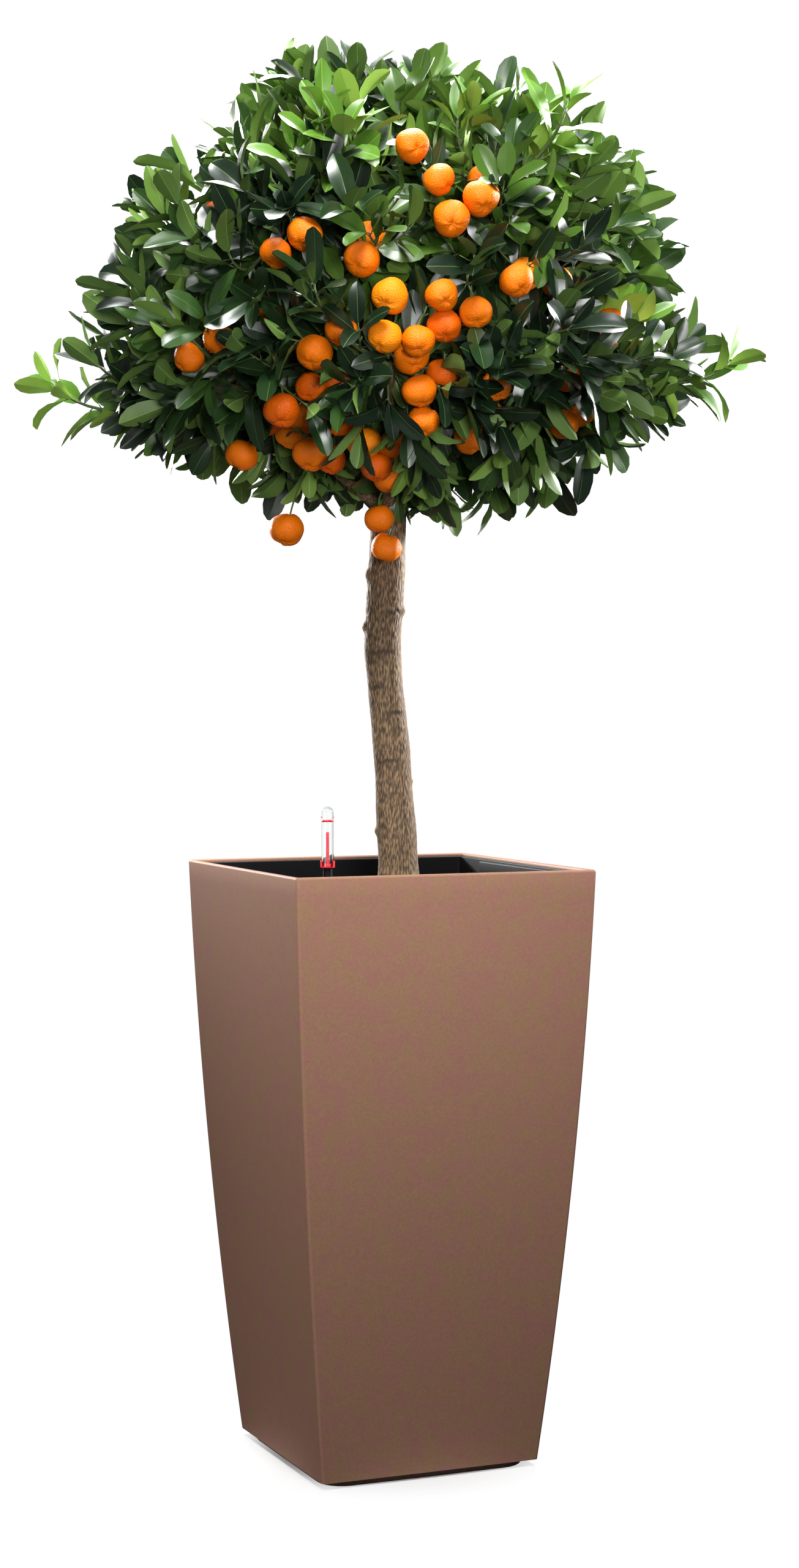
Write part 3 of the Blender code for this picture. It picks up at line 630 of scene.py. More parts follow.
def planter_material():
    """Satin brown plastic with a fine speckle and a broader, faint rose and olive mottle."""
    brown = srgb(PLANTER_BROWN)
    material = plain("planter_brown", brown, 0.60, Specular_IOR_Level=0.16)
    tree = material.node_tree
    place = coordinates(tree)
    fine = noise_value(tree, place, 420.0, 4.0, 0.65)
    speckle = ramp(tree, fine, ((0.30, scaled(brown, 0.90)), (0.70, scaled(brown, 1.08))))
    broad = noise_value(tree, place, 60.0, 3.0)
    mottle = ramp(tree, broad, ((0.38, (1.0, 0.90, 0.99)), (0.62, (0.95, 1.0, 0.86))))
    set_shader(material, Base_Color=multiply(tree, speckle, mottle))
    bump(material, fine, 0.05, 0.0003)
    return material


def moulded_material(name, colour, roughness):
    """Dark plastic with a fine moulded grain."""
    material = plain(name, colour, roughness, Specular_IOR_Level=0.12)
    tree = material.node_tree
    grain = noise_value(tree, coordinates(tree), 900.0, 2.0)
    shade = ramp(tree, grain, ((0.35, scaled(colour, 0.80)), (0.65, scaled(colour, 1.25))))
    set_shader(material, Base_Color=shade)
    bump(material, grain, 0.15, 0.0002)
    return material


def soil_material():
    """Dark potting mix, lighter where it is dry."""
    moist, damp, dry = (srgb(colour) for colour in SOIL_COLOURS)
    material = plain("potting_mix", damp, 0.95)
    tree = material.node_tree
    grain = noise_value(tree, coordinates(tree), 380.0, 6.0, 0.7)
    shade = ramp(tree, grain, ((0.32, moist), (0.52, damp), (0.72, dry)))
    set_shader(material, Base_Color=shade)
    bump(material, grain, 0.8, 0.002)
    return material


def bark_material():
    """Bark coloured by its own relief, which the mesh carries as an attribute."""
    deep, body, crest = (srgb(colour) for colour in BARK_COLOURS)
    material = plain("trunk_bark", body, 0.82)
    tree = material.node_tree
    relief = tree.nodes.new("ShaderNodeAttribute")
    relief.attribute_name = "relief"
    shade = ramp(tree, relief.outputs["Fac"], ((0.18, deep), (0.50, body), (0.86, crest)))
    broad = noise_value(tree, coordinates(tree), 32.0, 3.0)
    patch = ramp(tree, broad, ((0.32, (0.80, 0.78, 0.76)), (0.68, (1.06, 1.04, 1.0))))
    set_shader(material, Base_Color=multiply(tree, shade, patch))
    fine = noise_value(tree, coordinates(tree, (1.0, 1.0, 0.4)), 1800.0, 3.0)
    bump(material, fine, 0.35, 0.0003)
    return material


def fruit_material(name, colour):
    """Orange peel: one colour, with a fine pitted skin."""
    material = plain(name, colour, 0.46, Specular_IOR_Level=0.22)
    tree = material.node_tree
    pits = add_node(tree, "ShaderNodeTexVoronoi", Vector=coordinates(tree), Scale=900.0)
    bump(material, pits.outputs["Distance"], 0.55, 0.0008)
    return material


def planter_profile():
    floor_top = FLOOR_UNDERSIDE + FLOOR_THICKNESS
    rim_middle = PLANTER_HEIGHT - RIM_RADIUS
    centre = (outer_half(rim_middle) - RIM_RADIUS, rim_middle)
    profile = [(CENTRE_HALF, floor_top)]
    profile += [(outer_half(z) - WALL, z) for z in heights(floor_top, rim_middle)]
    profile += arc(centre, RIM_RADIUS, 180.0, 0.0, 10)[1:-1]
    profile += [(outer_half(z), z) for z in heights(0.0, rim_middle)[::-1]]
    foot = outer_half(0.0) - WALL
    profile += [(foot, 0.0), (foot, FLOOR_UNDERSIDE), (CENTRE_HALF, FLOOR_UNDERSIDE)]
    return profile


def planter_body(material):
    shape = Shape()
    add_loft(shape, square_body(planter_profile(), CORNER_ROUNDING)[::-1])
    body = shape.build("planter_body", [material])
    sharpen(body, 50.0)
    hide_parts("planter_shell")


def plinth(material):
    """The set-back foot: a dark block with round corners and a shallow step in its side."""
    top = STAND + FLOOR_UNDERSIDE - GAP
    inner = BASE_HALF_WIDTH - BASE_EDGE
    profile = [(CENTRE_HALF, 0.0)]
    profile += arc((inner, BASE_EDGE), BASE_EDGE, -90.0, 0.0)
    profile += [(BASE_HALF_WIDTH, top * BASE_STEP[0]), (inner, top * BASE_STEP[1])]
    profile += [(inner, top), (CENTRE_HALF, top)]
    shape = Shape()
    add_loft(shape, square_body(profile, BASE_CORNER))
    foot = shape.build("planter_foot", [material], raised=0.0)
    sharpen(foot, 40.0)
    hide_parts("planter_base")


def liner_outer(height):
    return outer_half(height) - WALL - GAP


def liner(material):
    bottom = FLOOR_UNDERSIDE + FLOOR_THICKNESS + GAP
    floor_top = bottom + LINER_FLOOR
    edge = LINER_TOP - LINER_EDGE
    profile = [(CENTRE_HALF, floor_top)]
    profile += [(liner_outer(z) - LINER_WALL, z) for z in heights(floor_top, edge)]
    inner = liner_outer(edge) - LINER_WALL + LINER_EDGE
    outer = liner_outer(edge) - LINER_EDGE
    profile += arc((inner, edge), LINER_EDGE, 180.0, 90.0, 4)[1:]
    profile += arc((outer, edge), LINER_EDGE, 90.0, 0.0, 4)[:-1]
    profile += [(liner_outer(z), z) for z in heights(bottom, edge)[::-1]]
    profile.append((CENTRE_HALF, bottom))
    shape = Shape()
    add_loft(shape, square_body(profile, CORNER_ROUNDING)[::-1])
    body = shape.build("soil_liner", [material])
    sharpen(body, 50.0)
    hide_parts("planter_liner")


def grip(name, node, side, material, dark):
    """A grip bar on the liner's inside, rounded along its edges, with two small holes painted as
    shadow-black discs.
    """
    wall = liner_outer(GRIP_TOP - GRIP_HEIGHT) - LINER_WALL
    centre = side * (wall - GAP - GRIP_THICKNESS / 2.0)
    section = []
    for quarter, (x, z) in enumerate(((1, 1), (-1, 1), (-1, -1), (1, -1))):
        middle = (
            x * (GRIP_THICKNESS / 2.0 - GRIP_ROUNDING),
            z * (GRIP_HEIGHT / 2.0 - GRIP_ROUNDING),
        )
        section += arc(middle, GRIP_ROUNDING, 90.0 * quarter, 90.0 * quarter + 90.0, 4)
    rings = []
    half = GRIP_LENGTH / 2.0
    for inset in (0.0, 0.0003, 0.0009, GRIP_ROUNDING):
        shrink = (GRIP_ROUNDING - math.sqrt(max(0.0, 2 * GRIP_ROUNDING * inset - inset**2))) / 2.0
        rings.append((-half + inset, shrink))
    rings += [(-y, shrink) for y, shrink in rings[::-1]]
    height = GRIP_TOP - GRIP_HEIGHT / 2.0
    loft = [
        [
            (
                centre + x * (1.0 - 2.0 * shrink / GRIP_THICKNESS),
                y,
                height + z * (1.0 - 2.0 * shrink / GRIP_HEIGHT),
            )
            for x, z in section
        ]
        for y, shrink in rings
    ]
    shape = Shape()
    add_loft(shape, np.array(loft)[::-1])
    # Each hole is a near-black disc set into the bar and standing just proud of its top: painted
    # shadow, not a cut hole.
    hole = [(GRIP_HOLE_RADIUS, GRIP_TOP - GRIP_HOLE_DEPTH), (GRIP_HOLE_RADIUS, GRIP_TOP)]
    for place in (-GRIP_HOLE_PLACE, GRIP_HOLE_PLACE):
        add_loft(shape, turned_rings(hole, 16) + np.array((centre, place, 0.00006)), 1)
    bar = shape.build(name, [material, dark])
    sharpen(bar, 40.0)
    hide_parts(node)


def soil_height(x, y):
    """The height of the soil's uneven surface."""
    rough = 0.0
    for waves, layer, share in SOIL_WAVES:
        rough += noise.noise(Vector((x * waves, y * waves, layer))) * share
    return SOIL_TOP - SOIL_RELIEF * (0.55 - 0.5 * rough)


def potting_mix(material, chip_material):
    half = liner_outer(SOIL_TOP) - LINER_WALL - GAP
    side = np.linspace(-half, half, SOIL_CELLS)
    top = [[(x, y, soil_height(x, y)) for x in side] for y in side]
    shape = Shape()
    shape.add(np.array(top).reshape(-1, 3), grid_faces(SOIL_CELLS, SOIL_CELLS, False))
    edge = [(i, 0) for i in range(SOIL_CELLS)]
    edge += [(SOIL_CELLS - 1, i) for i in range(1, SOIL_CELLS)]
    edge += [(i, SOIL_CELLS - 1) for i in range(SOIL_CELLS - 2, -1, -1)]
    edge += [(0, i) for i in range(SOIL_CELLS - 2, 0, -1)]
    bottom = FLOOR_UNDERSIDE + FLOOR_THICKNESS + 2.0 * GAP + LINER_FLOOR
    rim = np.array([top[row][column] for column, row in edge])
    rings = [rim]
    for height in heights(bottom, SOIL_TOP - SOIL_RELIEF)[::-1]:
        share = (liner_outer(height) - LINER_WALL - GAP) / half
        level = rim * share
        level[:, 2] = height
        rings.append(level)
    add_loft(shape, np.array(rings)[::-1], cap_end=False)
    block = shape.build("potting_mix", [material])
    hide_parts("soil")
    crumbs(half, material, chip_material)


def crumbs(half, material, chip_material):
    """Loose crumbs and bark chips on the soil, sunk partly in."""
    rng = random.Random(SEED)
    shape = Shape()
    corners = [(0, 0, 1), (1, 0, 0), (0, 1, 0), (-1, 0, 0), (0, -1, 0), (0, 0, -1)]
    corners = np.array(corners, float)
    faces = [(0, 1 + n, 1 + (n + 1) % 4) for n in range(4)]
    faces += [(5, 1 + (n + 1) % 4, 1 + n) for n in range(4)]
    _, foot_shift, foot_radius = TRUNK_STATIONS[0]
    trunk_foot = TO_RIGHT * foot_shift
    for _ in range(CRUMB_COUNT):
        x = rng.uniform(-half, half) * CRUMB_SPREAD
        y = rng.uniform(-half, half) * CRUMB_SPREAD
        if math.hypot(x - trunk_foot.x, y - trunk_foot.y) < foot_radius + 0.002:
            continue
        is_chip = rng.random() < CHIP_SHARE
        size = rng.uniform(*(CHIP_SIZES if is_chip else CRUMB_SIZES))
        sizes = np.array((size, size * rng.uniform(0.5, 0.9), size * rng.uniform(0.25, 0.6)))
        jitter = np.array([[rng.uniform(0.75, 1.2) for _ in range(3)] for _ in corners])
        spin = Matrix.Rotation(rng.uniform(0.0, 6.28), 3, "Z")
        tilt = Matrix.Rotation(rng.gauss(0, 0.5), 3, "X")
        points = (corners * jitter * sizes) @ np.array(spin @ tilt).T
        points += np.array((x, y, soil_height(x, y) + sizes[2] * 0.3))
        points[:, 2] = np.minimum(points[:, 2], CRUMB_TOP)
        shape.add(points, faces, int(is_chip))
    loose = shape.build("soil_crumbs", [material, chip_material], smooth=False)


def gauge(black, red, clear):
    """The water level gauge: post, cradle, clip, tube and its marks, and the float's rod."""
    gauge_post(black)
    gauge_cradle(red)
    gauge_clip(black)
    gauge_tube(clear)
    gauge_marks(red)
    gauge_rod(red)


def gauge_post(black):
    low = SOIL_TOP + GAP
    profile = [(AXIS_RADIUS, low), (POST_RADIUS, low)]
    profile += [(POST_RADIUS, z) for z in np.linspace(low + 0.004, CUP_BOTTOM - 0.0006, 5)]
    profile += [(AXIS_RADIUS, CUP_BOTTOM - 0.0004)]
    shape = Shape()
    add_loft(shape, turned_rings(profile) + GAUGE_PLACE)
    post = shape.build("gauge_post", [black])
    sharpen(post, 40.0)
    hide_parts("level_post")


def gauge_cradle(red):
    """A shallow cup under the tube, with an arm up each side."""
    floor_top = CUP_FLOOR + 0.0002
    profile = [(AXIS_RADIUS, CUP_BOTTOM)]
    profile += arc((CRADLE_RADIUS - CUP_EDGE, CUP_BOTTOM + CUP_EDGE), CUP_EDGE, -90.0, 0.0)
    profile += [(CRADLE_RADIUS, floor_top), (AXIS_RADIUS, floor_top)]
    shape = Shape()
    add_loft(shape, turned_rings(profile) + GAUGE_PLACE)
    for turn in (-90.0, 90.0):
        add_sleeve(shape, turn, CRADLE_HALF_ANGLE, (CUP_FLOOR, CUP_TOP, CUP_TOP))
    cradle = shape.build("gauge_cup", [red])
    sharpen(cradle, 40.0)


def gauge_clip(black):
    """Half a sleeve behind the tube, its top on a slope."""
    shape = Shape()
    levels = (CUP_FLOOR, CLIP_TOP - CLIP_SLOPE, CLIP_TOP + CLIP_SLOPE)
    add_sleeve(shape, 180.0, CLIP_HALF_ANGLE, levels)
    clip = shape.build("gauge_clip", [black])
    sharpen(clip, 40.0)


def gauge_tube(clear):
    """A clear tube with a domed top."""
    foot = CUP_FLOOR + GAP
    bore = TUBE_RADIUS - TUBE_WALL
    middle = TUBE_TOP - TUBE_RADIUS
    profile = arc((0.0, middle), TUBE_RADIUS, 89.5, 0.0, 12)
    profile += [(TUBE_RADIUS, foot), (bore, foot)]
    profile += arc((0.0, middle), bore, 0.0, 89.5, 12)
    shape = Shape()
    add_loft(shape, turned_rings(profile)[::-1] + GAUGE_PLACE)
    tube = shape.build("gauge_tube", [clear])
    sharpen(tube, 50.0)
    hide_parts("level_tube")


def gauge_marks(red):
    """A ring round the tube, and a small raised dot on each side above it."""
    inner = TUBE_RADIUS - 0.0002
    outer = TUBE_RADIUS + MARK_RELIEF
    low = MARK_HEIGHT - MARK_WIDTH / 2.0
    high = MARK_HEIGHT + MARK_WIDTH / 2.0
    profile = [(inner, low), (outer, low), (outer, high), (inner, high), (inner, low)]
    shape = Shape()
    add_loft(shape, turned_rings(profile) + GAUGE_PLACE, cap_start=False, cap_end=False)
    dot = turned_rings(arc((0.0, 0.0), TICK_RADIUS, -89.0, 89.0, 8), 12)
    for side in (-1.0, 1.0):
        spot = TO_RIGHT * side * TUBE_RADIUS
        add_loft(shape, dot + GAUGE_PLACE + np.array((spot.x, spot.y, TICK_HEIGHT)))
    marks = shape.build("gauge_marks", [red])


def gauge_rod(red):
    """The float at the tube's foot, with the thin rod that it carries."""
    low = CUP_FLOOR + GAP
    high = low + FLOAT_HEIGHT
    profile = [
        (AXIS_RADIUS, low),
        (FLOAT_RADIUS - FLOAT_EDGE, low),
        (FLOAT_RADIUS, low + FLOAT_EDGE),
        (FLOAT_RADIUS, high - FLOAT_EDGE),
        (FLOAT_RADIUS - FLOAT_EDGE, high),
        (ROD_RADIUS, high),
        (ROD_RADIUS, ROD_TOP - ROD_TAPER),
        (ROD_RADIUS * 0.7, ROD_TOP),
        (AXIS_RADIUS, ROD_TOP),
    ]
    shape = Shape()
    add_loft(shape, turned_rings(profile, 24) + GAUGE_PLACE)
    rod = shape.build("gauge_rod", [red], "float")
    sharpen(rod, 40.0)
    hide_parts("level_float")


def add_sleeve(shape, turn, half_angle, levels):
    """Part of a sleeve round the tube, turned from the viewer, its top sloping across."""
    low, first_top, last_top = levels
    inner = TUBE_RADIUS + GAP
    edge = (CRADLE_RADIUS - inner) * 0.3
    rings = []
    for share in np.linspace(0.0, 1.0, 13):
        direction = heading(math.radians(turn + half_angle * (1.0 - 2.0 * share)))
        high = first_top + (last_top - first_top) * share
        section = [(inner, low), (CRADLE_RADIUS, low), (CRADLE_RADIUS, high - edge)]
        section += [(CRADLE_RADIUS - edge, high), (inner + edge, high), (inner, high - edge)]
        rings.append([(direction.x * r, direction.y * r, z) for r, z in section])
    add_loft(shape, np.array(rings) + GAUGE_PLACE)


def trunk_point(height):
    """Centre and radius of the trunk at a height, between its stations."""
    for low, high in zip(TRUNK_STATIONS, TRUNK_STATIONS[1:]):
        if height <= high[0]:
            part = (height - low[0]) / (high[0] - low[0])
            shift = low[1] + part * (high[1] - low[1])
            radius = low[2] + part * (high[2] - low[2])
            return TO_RIGHT * shift + UP * height, radius
    height, shift, radius = TRUNK_STATIONS[-1]
    return TO_RIGHT * shift + UP * height, radius


def smooth_trunk_point(height):
    """The trunk's centre and radius, eased so that its stations don't show as kinks."""
    total = Vector((0.0, 0.0, 0.0))
    radius = 0.0
    for step in (-1.0, -0.5, 0.0, 0.5, 1.0):
        near = height + step * KINK_REACH
        point, size = trunk_point(min(TRUNK_STATIONS[-1][0], max(TRUNK_STATIONS[0][0], near)))
        total += point
        radius += size
    centre = total / 5.0
    centre.z = height
    return centre, radius / 5.0


def heading(turn):
    """The level direction turned from the viewer's side towards the viewer's right."""
    return TO_VIEWER * math.cos(turn) + TO_RIGHT * math.sin(turn)


def ridge(point, pitch, stretch):
    """Bark ridges at a point, from 0 in a groove to 1 on a crest."""
    sway = noise.noise(Vector((point.x * 90.0, point.y * 90.0, point.z * 60.0))) * 0.9
    place = Vector((point.x / pitch + sway, point.y / pitch + sway, point.z / pitch / stretch))
    value = noise.noise(place)
    finer = noise.noise(place * 2.1 + Vector((7.3, 1.9, 4.4)))
    return min(1.0, max(0.0, 0.5 + 0.85 * value + 0.35 * finer))


def angle_between(first, second):
    """The difference of two turns in degrees, from 0 to 180."""
    return abs((first - second + 180.0) % 360.0 - 180.0)


def trunk_surface(height, degrees):
    """A point on the trunk's bark and its relief there."""
    centre, radius = smooth_trunk_point(height)
    direction = heading(math.radians(degrees))
    skin = centre + direction * radius
    relief = ridge(skin, RIDGE_PITCH, RIDGE_STRETCH)
    lump = noise.noise(skin / LUMP_PITCH) * LUMP_DEPTH
    out = RIDGE_DEPTH * (relief - 0.5) * 2.0 + lump
    for knob_height, knob_turn, stand, size in KNOBS:
        across = math.radians(angle_between(degrees, knob_turn)) * radius
        share = (across**2 + (height - knob_height) ** 2) / size**2
        out += stand * math.exp(-2.5 * share)
    for scar_height, scar_turn, width in SCARS:
        across = angle_between(degrees, scar_turn) / width
        wander = noise.noise(Vector((degrees * 0.06, scar_height * 90.0, 0.0))) * 0.0025
        up = (height - scar_height - wander) / SCAR_HEIGHT
        if across < 1.0 and abs(up) < 2.5:
            cut = math.exp(-(up**2)) * (1.0 - across**2)
            out += RIDGE_DEPTH * 1.6 * math.exp(-((abs(up) - 1.3) ** 2) * 2.0) * (1.0 - across**2)
            out -= RIDGE_DEPTH * 2.2 * cut
            relief *= 1.0 - 0.85 * cut
    return skin + direction * out, relief


def carry_relief(obj, values):
    attribute = obj.data.attributes.new("relief", "FLOAT", "POINT")
    attribute.data.foreach_set("value", np.asarray(values, np.float32))


def trunk(material):
    low, high = TRUNK_STATIONS[0][0], TRUNK_STATIONS[-1][0]
    rings = []
    reliefs = []
    for height in np.linspace(low, high, TRUNK_RINGS):
        for step in range(TRUNK_SIDES):
            point, relief = trunk_surface(height, 360.0 * step / TRUNK_SIDES)
            rings.append(tuple(point))
            reliefs.append(relief)
    shape = Shape()
    rings = np.array(rings).reshape(TRUNK_RINGS, TRUNK_SIDES, 3)
    add_loft(shape, rings)
    stem = shape.build("trunk_bark", [material])
    carry_relief(stem, reliefs)
    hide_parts("trunk")


def crown_centre():
    return TO_RIGHT * CROWN_SHIFT + UP * CROWN_WAIST


def crown_reach(direction):
    """Distance from the crown's centre to its surface along a direction."""
    power = RISE_POWER if direction.z > 0.0 else DROP_POWER
    depth = CROWN_RISE if direction.z > 0.0 else CROWN_DROP
    level = math.hypot(direction.x, direction.y) / CROWN_RADIUS
    upright = abs(direction.z) / depth
    return (level**power + upright**power) ** (-1.0 / power)


class Mass:
    """One mass of foliage: its heart, the height its bough leaves the trunk, its reach."""

    def __init__(self, name, turn, distance, height, fork, reach):
        self.name = name
        self.heart = TO_RIGHT * CROWN_SHIFT + heading(turn) * distance + UP * height
        self.fork = fork
        self.reach = reach


def ring_of_masses(layer, count, distance, height, step, fork, reaches, half_turn):
    """Masses spread round the crown. The forks of neighbours are spread along the trunk."""
    masses = []
    for place in range(count):
        rank = next(k for k in range(count) if k * step % count == place)
        turn = 2.0 * math.pi * (place + half_turn) / count
        name = f"foliage_{layer}_{place + 1}"
        at = fork + rank * FORK_SPACING
        masses.append(Mass(name, turn, distance, height, at, reaches[place]))
    return masses


def all_masses():
    masses = ring_of_masses(
        "lower", LOWER_COUNT, LOWER_DISTANCE, LOWER_HEIGHT, LOWER_STEP, LOWER_FORK, LOWER_REACH, 0.0
    )
    masses += ring_of_masses(
        "upper", UPPER_COUNT, UPPER_DISTANCE, UPPER_HEIGHT, UPPER_STEP, UPPER_FORK, UPPER_REACH, 0.5
    )
    masses.append(Mass("foliage_top", 0.0, 0.0, TOP_HEIGHT, None, TOP_REACH))
    return masses


def stem_start(mass):
    """Tip of the mass's bough, and the direction from there to its heart."""
    if mass.fork is None:
        root = trunk_point(TRUNK_STATIONS[-1][0])[0]
    else:
        root = trunk_point(mass.fork)[0]
    inward = (mass.heart - root).normalized()
    return mass.heart - inward * (HEART_RADIUS + STEM_LENGTH), inward


def bough_path(mass):
    """Points along a bough and on to its mass's heart, with radii."""
    tip, inward = stem_start(mass)
    straight = tip - inward * BOUGH_STRAIGHT
    if mass.fork is None:
        top, _ = trunk_point(TRUNK_STATIONS[-1][0])
        before, _ = trunk_point(TRUNK_STATIONS[-2][0])
        upward = (top - before).normalized()
        root = top - upward * 0.004
        bend = top + upward * LEADER_RISE
        root_radius = LEADER_ROOT_RADIUS
    else:
        root, _ = trunk_point(mass.fork)
        level = Vector((mass.heart.x - root.x, mass.heart.y - root.y, 0.0)).normalized()
        bend = root + level * BOUGH_BEND_OUT + UP * BOUGH_BEND_UP
        root_radius = BOUGH_ROOT_RADIUS
    points = []
    radii = []
    for step in range(BOUGH_RINGS):
        along = step / (BOUGH_RINGS - 1)
        curve = root.lerp(bend, along).lerp(bend.lerp(straight, along), along)
        points.append(curve)
        radii.append(root_radius + (BOUGH_TIP_RADIUS - root_radius) * along)
    for step in range(1, 13):
        along = step / 12.0
        points.append(straight.lerp(mass.heart, along))
        radii.append(BOUGH_TIP_RADIUS + (LIMB_RADIUS - BOUGH_TIP_RADIUS) * along)
    return points, radii


def tube_rings(points, radii, sides):
    """Rings round a path, turned as little as possible from one to the next."""
    path = np.array([tuple(point) for point in points])
    tangents = np.gradient(path, axis=0)
    tangents /= np.linalg.norm(tangents, axis=1)[:, None]
    first = tangents[0]
    side = np.cross(first, (0.0, 0.0, 1.0) if abs(first[2]) < 0.9 else (1.0, 0.0, 0.0))
    angles = np.arange(sides) * 2.0 * math.pi / sides
    rings = []
    for point, tangent, radius in zip(path, tangents, radii):
        side = side - tangent * side.dot(tangent)
        side /= np.linalg.norm(side)
        other = np.cross(tangent, side)
        spokes = np.cos(angles)[:, None] * side + np.sin(angles)[:, None] * other
        rings.append(point + spokes * radius)
    return np.array(rings)


def boughs(masses, material):
    shape = Shape()
    reliefs = []
    for mass in masses:
        points, radii = bough_path(mass)
        rings = tube_rings(points, radii, BOUGH_SIDES)
        for ring, centre in zip(rings, points):
            middle = np.array(centre)
            for place, spot in enumerate(ring):
                relief = ridge(Vector(spot), RIDGE_PITCH * 0.8, 4.0)
                spoke = (spot - middle) / np.linalg.norm(spot - middle)
                ring[place] = spot + spoke * BOUGH_RELIEF * (relief - 0.5) * 2.0
                reliefs.append(relief)
        add_loft(shape, rings)
    limbs = shape.build("bough_bark", [material])
    carry_relief(limbs, reliefs)
    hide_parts(*(mass.name.replace("foliage", "bough") for mass in masses))


def spread_directions(count, turn):
    """Directions spread evenly over a sphere along a golden spiral."""
    found = []
    for number in range(count):
        z = 1.0 - 2.0 * (number + 0.5) / count
        level = math.sqrt(1.0 - z * z)
        angle = turn + GOLDEN_ANGLE * number
        found.append(heading(angle) * level + UP * z)
    return found


def nearest_mass(point, masses):
    return min(masses, key=lambda mass: (point - mass.heart).length_squared)


def shoot_targets(masses, rng):
    """Where each shoot's last leaf ends, as (mass, point, stray), even on all sides."""
    targets = []
    for direction in spread_directions(SHOOT_COUNT, 0.6):
        surface = crown_centre() + direction * crown_reach(direction)
        mass = nearest_mass(surface, masses)
        depth = mass.reach * (1.0 - (1.0 - rng.uniform(*SHOOT_DEPTHS)) * DEPTH_SPREAD)
        slope = 2.0 * abs(direction.z) * math.hypot(direction.x, direction.y)
        depth *= 1.0 - slope * (SHOULDER_ROOM if direction.z > 0.0 else UNDERSIDE_ROOM)
        targets.append((mass, crown_centre() + (surface - crown_centre()) * depth, False))
    for degrees, height, distance in STRAY_SHOOTS + PROUD_SHOOTS:
        point = TO_RIGHT * CROWN_SHIFT + heading(math.radians(degrees)) * distance + UP * height
        stray = (degrees, height, distance) in STRAY_SHOOTS
        targets.append((nearest_mass(point, masses), point, stray))
    return targets


def on_front(side, height):
    """The point just under the crown's surface that the viewer sees at a side and height."""
    rise = height - CROWN_WAIST
    power = RISE_POWER if rise > 0.0 else DROP_POWER
    depth = CROWN_RISE if rise > 0.0 else CROWN_DROP
    level = max(0.0, FRUIT_DEPTH**power - (abs(rise) / depth) ** power) ** (1.0 / power)
    near = math.sqrt(max(0.0, (CROWN_RADIUS * level) ** 2 - side * side))
    return TO_RIGHT * (side + CROWN_SHIFT) + TO_VIEWER * near + UP * height


def fruit_places(rng):
    """The middle of each fruit and its sort, from the front clusters to the far side."""
    clusters = [(on_front(side, height), count) for side, height, count in FRONT_FRUIT]
    for number, direction in enumerate(spread_directions(4 * BACK_FRUIT, 2.0)):
        if direction.dot(TO_VIEWER) < -0.1 and abs(direction.z) < 0.75 and number % 2 == 0:
            place = crown_centre() + direction * crown_reach(direction) * FRUIT_DEPTH
            clusters.append((place, rng.choice((1, 1, 2))))
    for direction in spread_directions(INNER_FRUIT, 4.0):
        if abs(direction.z) < 0.8:
            place = crown_centre() + direction * crown_reach(direction) * INNER_DEPTH
            clusters.append((place, rng.choice((0, 1, 1))))
    places = [
        (TO_RIGHT * (side + CROWN_SHIFT) + TO_VIEWER * near + UP * height, HANGING)
        for side, near, height in HANGING_FRUIT
    ]
    for place, count in clusters:
        outward = (place - crown_centre()).normalized()
        across = outward.cross(UP).normalized()
        upward = across.cross(outward)
        for number in range(count):
            angle = GOLDEN_ANGLE * number + rng.uniform(-0.15, 0.15)
            spread = 2.0 * FRUIT_RADIUS * FRUIT_SPREAD * math.sqrt(number + 0.3)
            shift = across * math.cos(angle) + upward * math.sin(angle)
            middle = place + shift * spread * (0.0 if count == 1 else 1.0)
            shows = number == 0 or rng.random() < OPEN_SHARE
            places.append((middle, OPEN if shows else SHADED))
    return places


class Fruit:
    """One fruit: its middle, radius and stalk's direction. A shaded one keeps all its leaves."""

    def __init__(self, place, sort, rng):
        self.radius = FRUIT_RADIUS * rng.uniform(*FRUIT_SIZES)
        self.shaded = sort == SHADED
        outward = (place - crown_centre()).normalized()
        self.place = place - outward * rng.uniform(*FRUIT_PULL[sort])
        tilt = Vector((rng.gauss(0.0, 0.25), rng.gauss(0.0, 0.25), 0.0))
        self.axis = (UP * 0.8 - outward * 0.75 + tilt).normalized()
        self.kind = rng.choice((0, 0, 1, 2))
        self.phases = [rng.uniform(0.0, 2.0 * math.pi) for _ in range(4)]


def settle_fruit(fruits):
    """Moves fruit that would overlap apart, a little at a time."""
    for _ in range(SETTLING_ROUNDS):
        for number, one in enumerate(fruits):
            for other in fruits[number + 1 :]:
                between = other.place - one.place
                room = (one.radius + other.radius) * FRUIT_TOUCH
                if between.length < room:
                    push = between.normalized() * (room - between.length) / 2.0
                    one.place = one.place - push
                    other.place = other.place + push


def curve_between(start, end, finish_along, count):
    """A curved path that ends along a direction."""
    length = (end - start).length
    bend = end - finish_along * length * 0.45
    points = []
    for step in range(count):
        along = step / (count - 1)
        points.append(start.lerp(bend, along).lerp(bend.lerp(end, along), along))
    return points


Leaf = namedtuple("Leaf", "root along normal size kind")


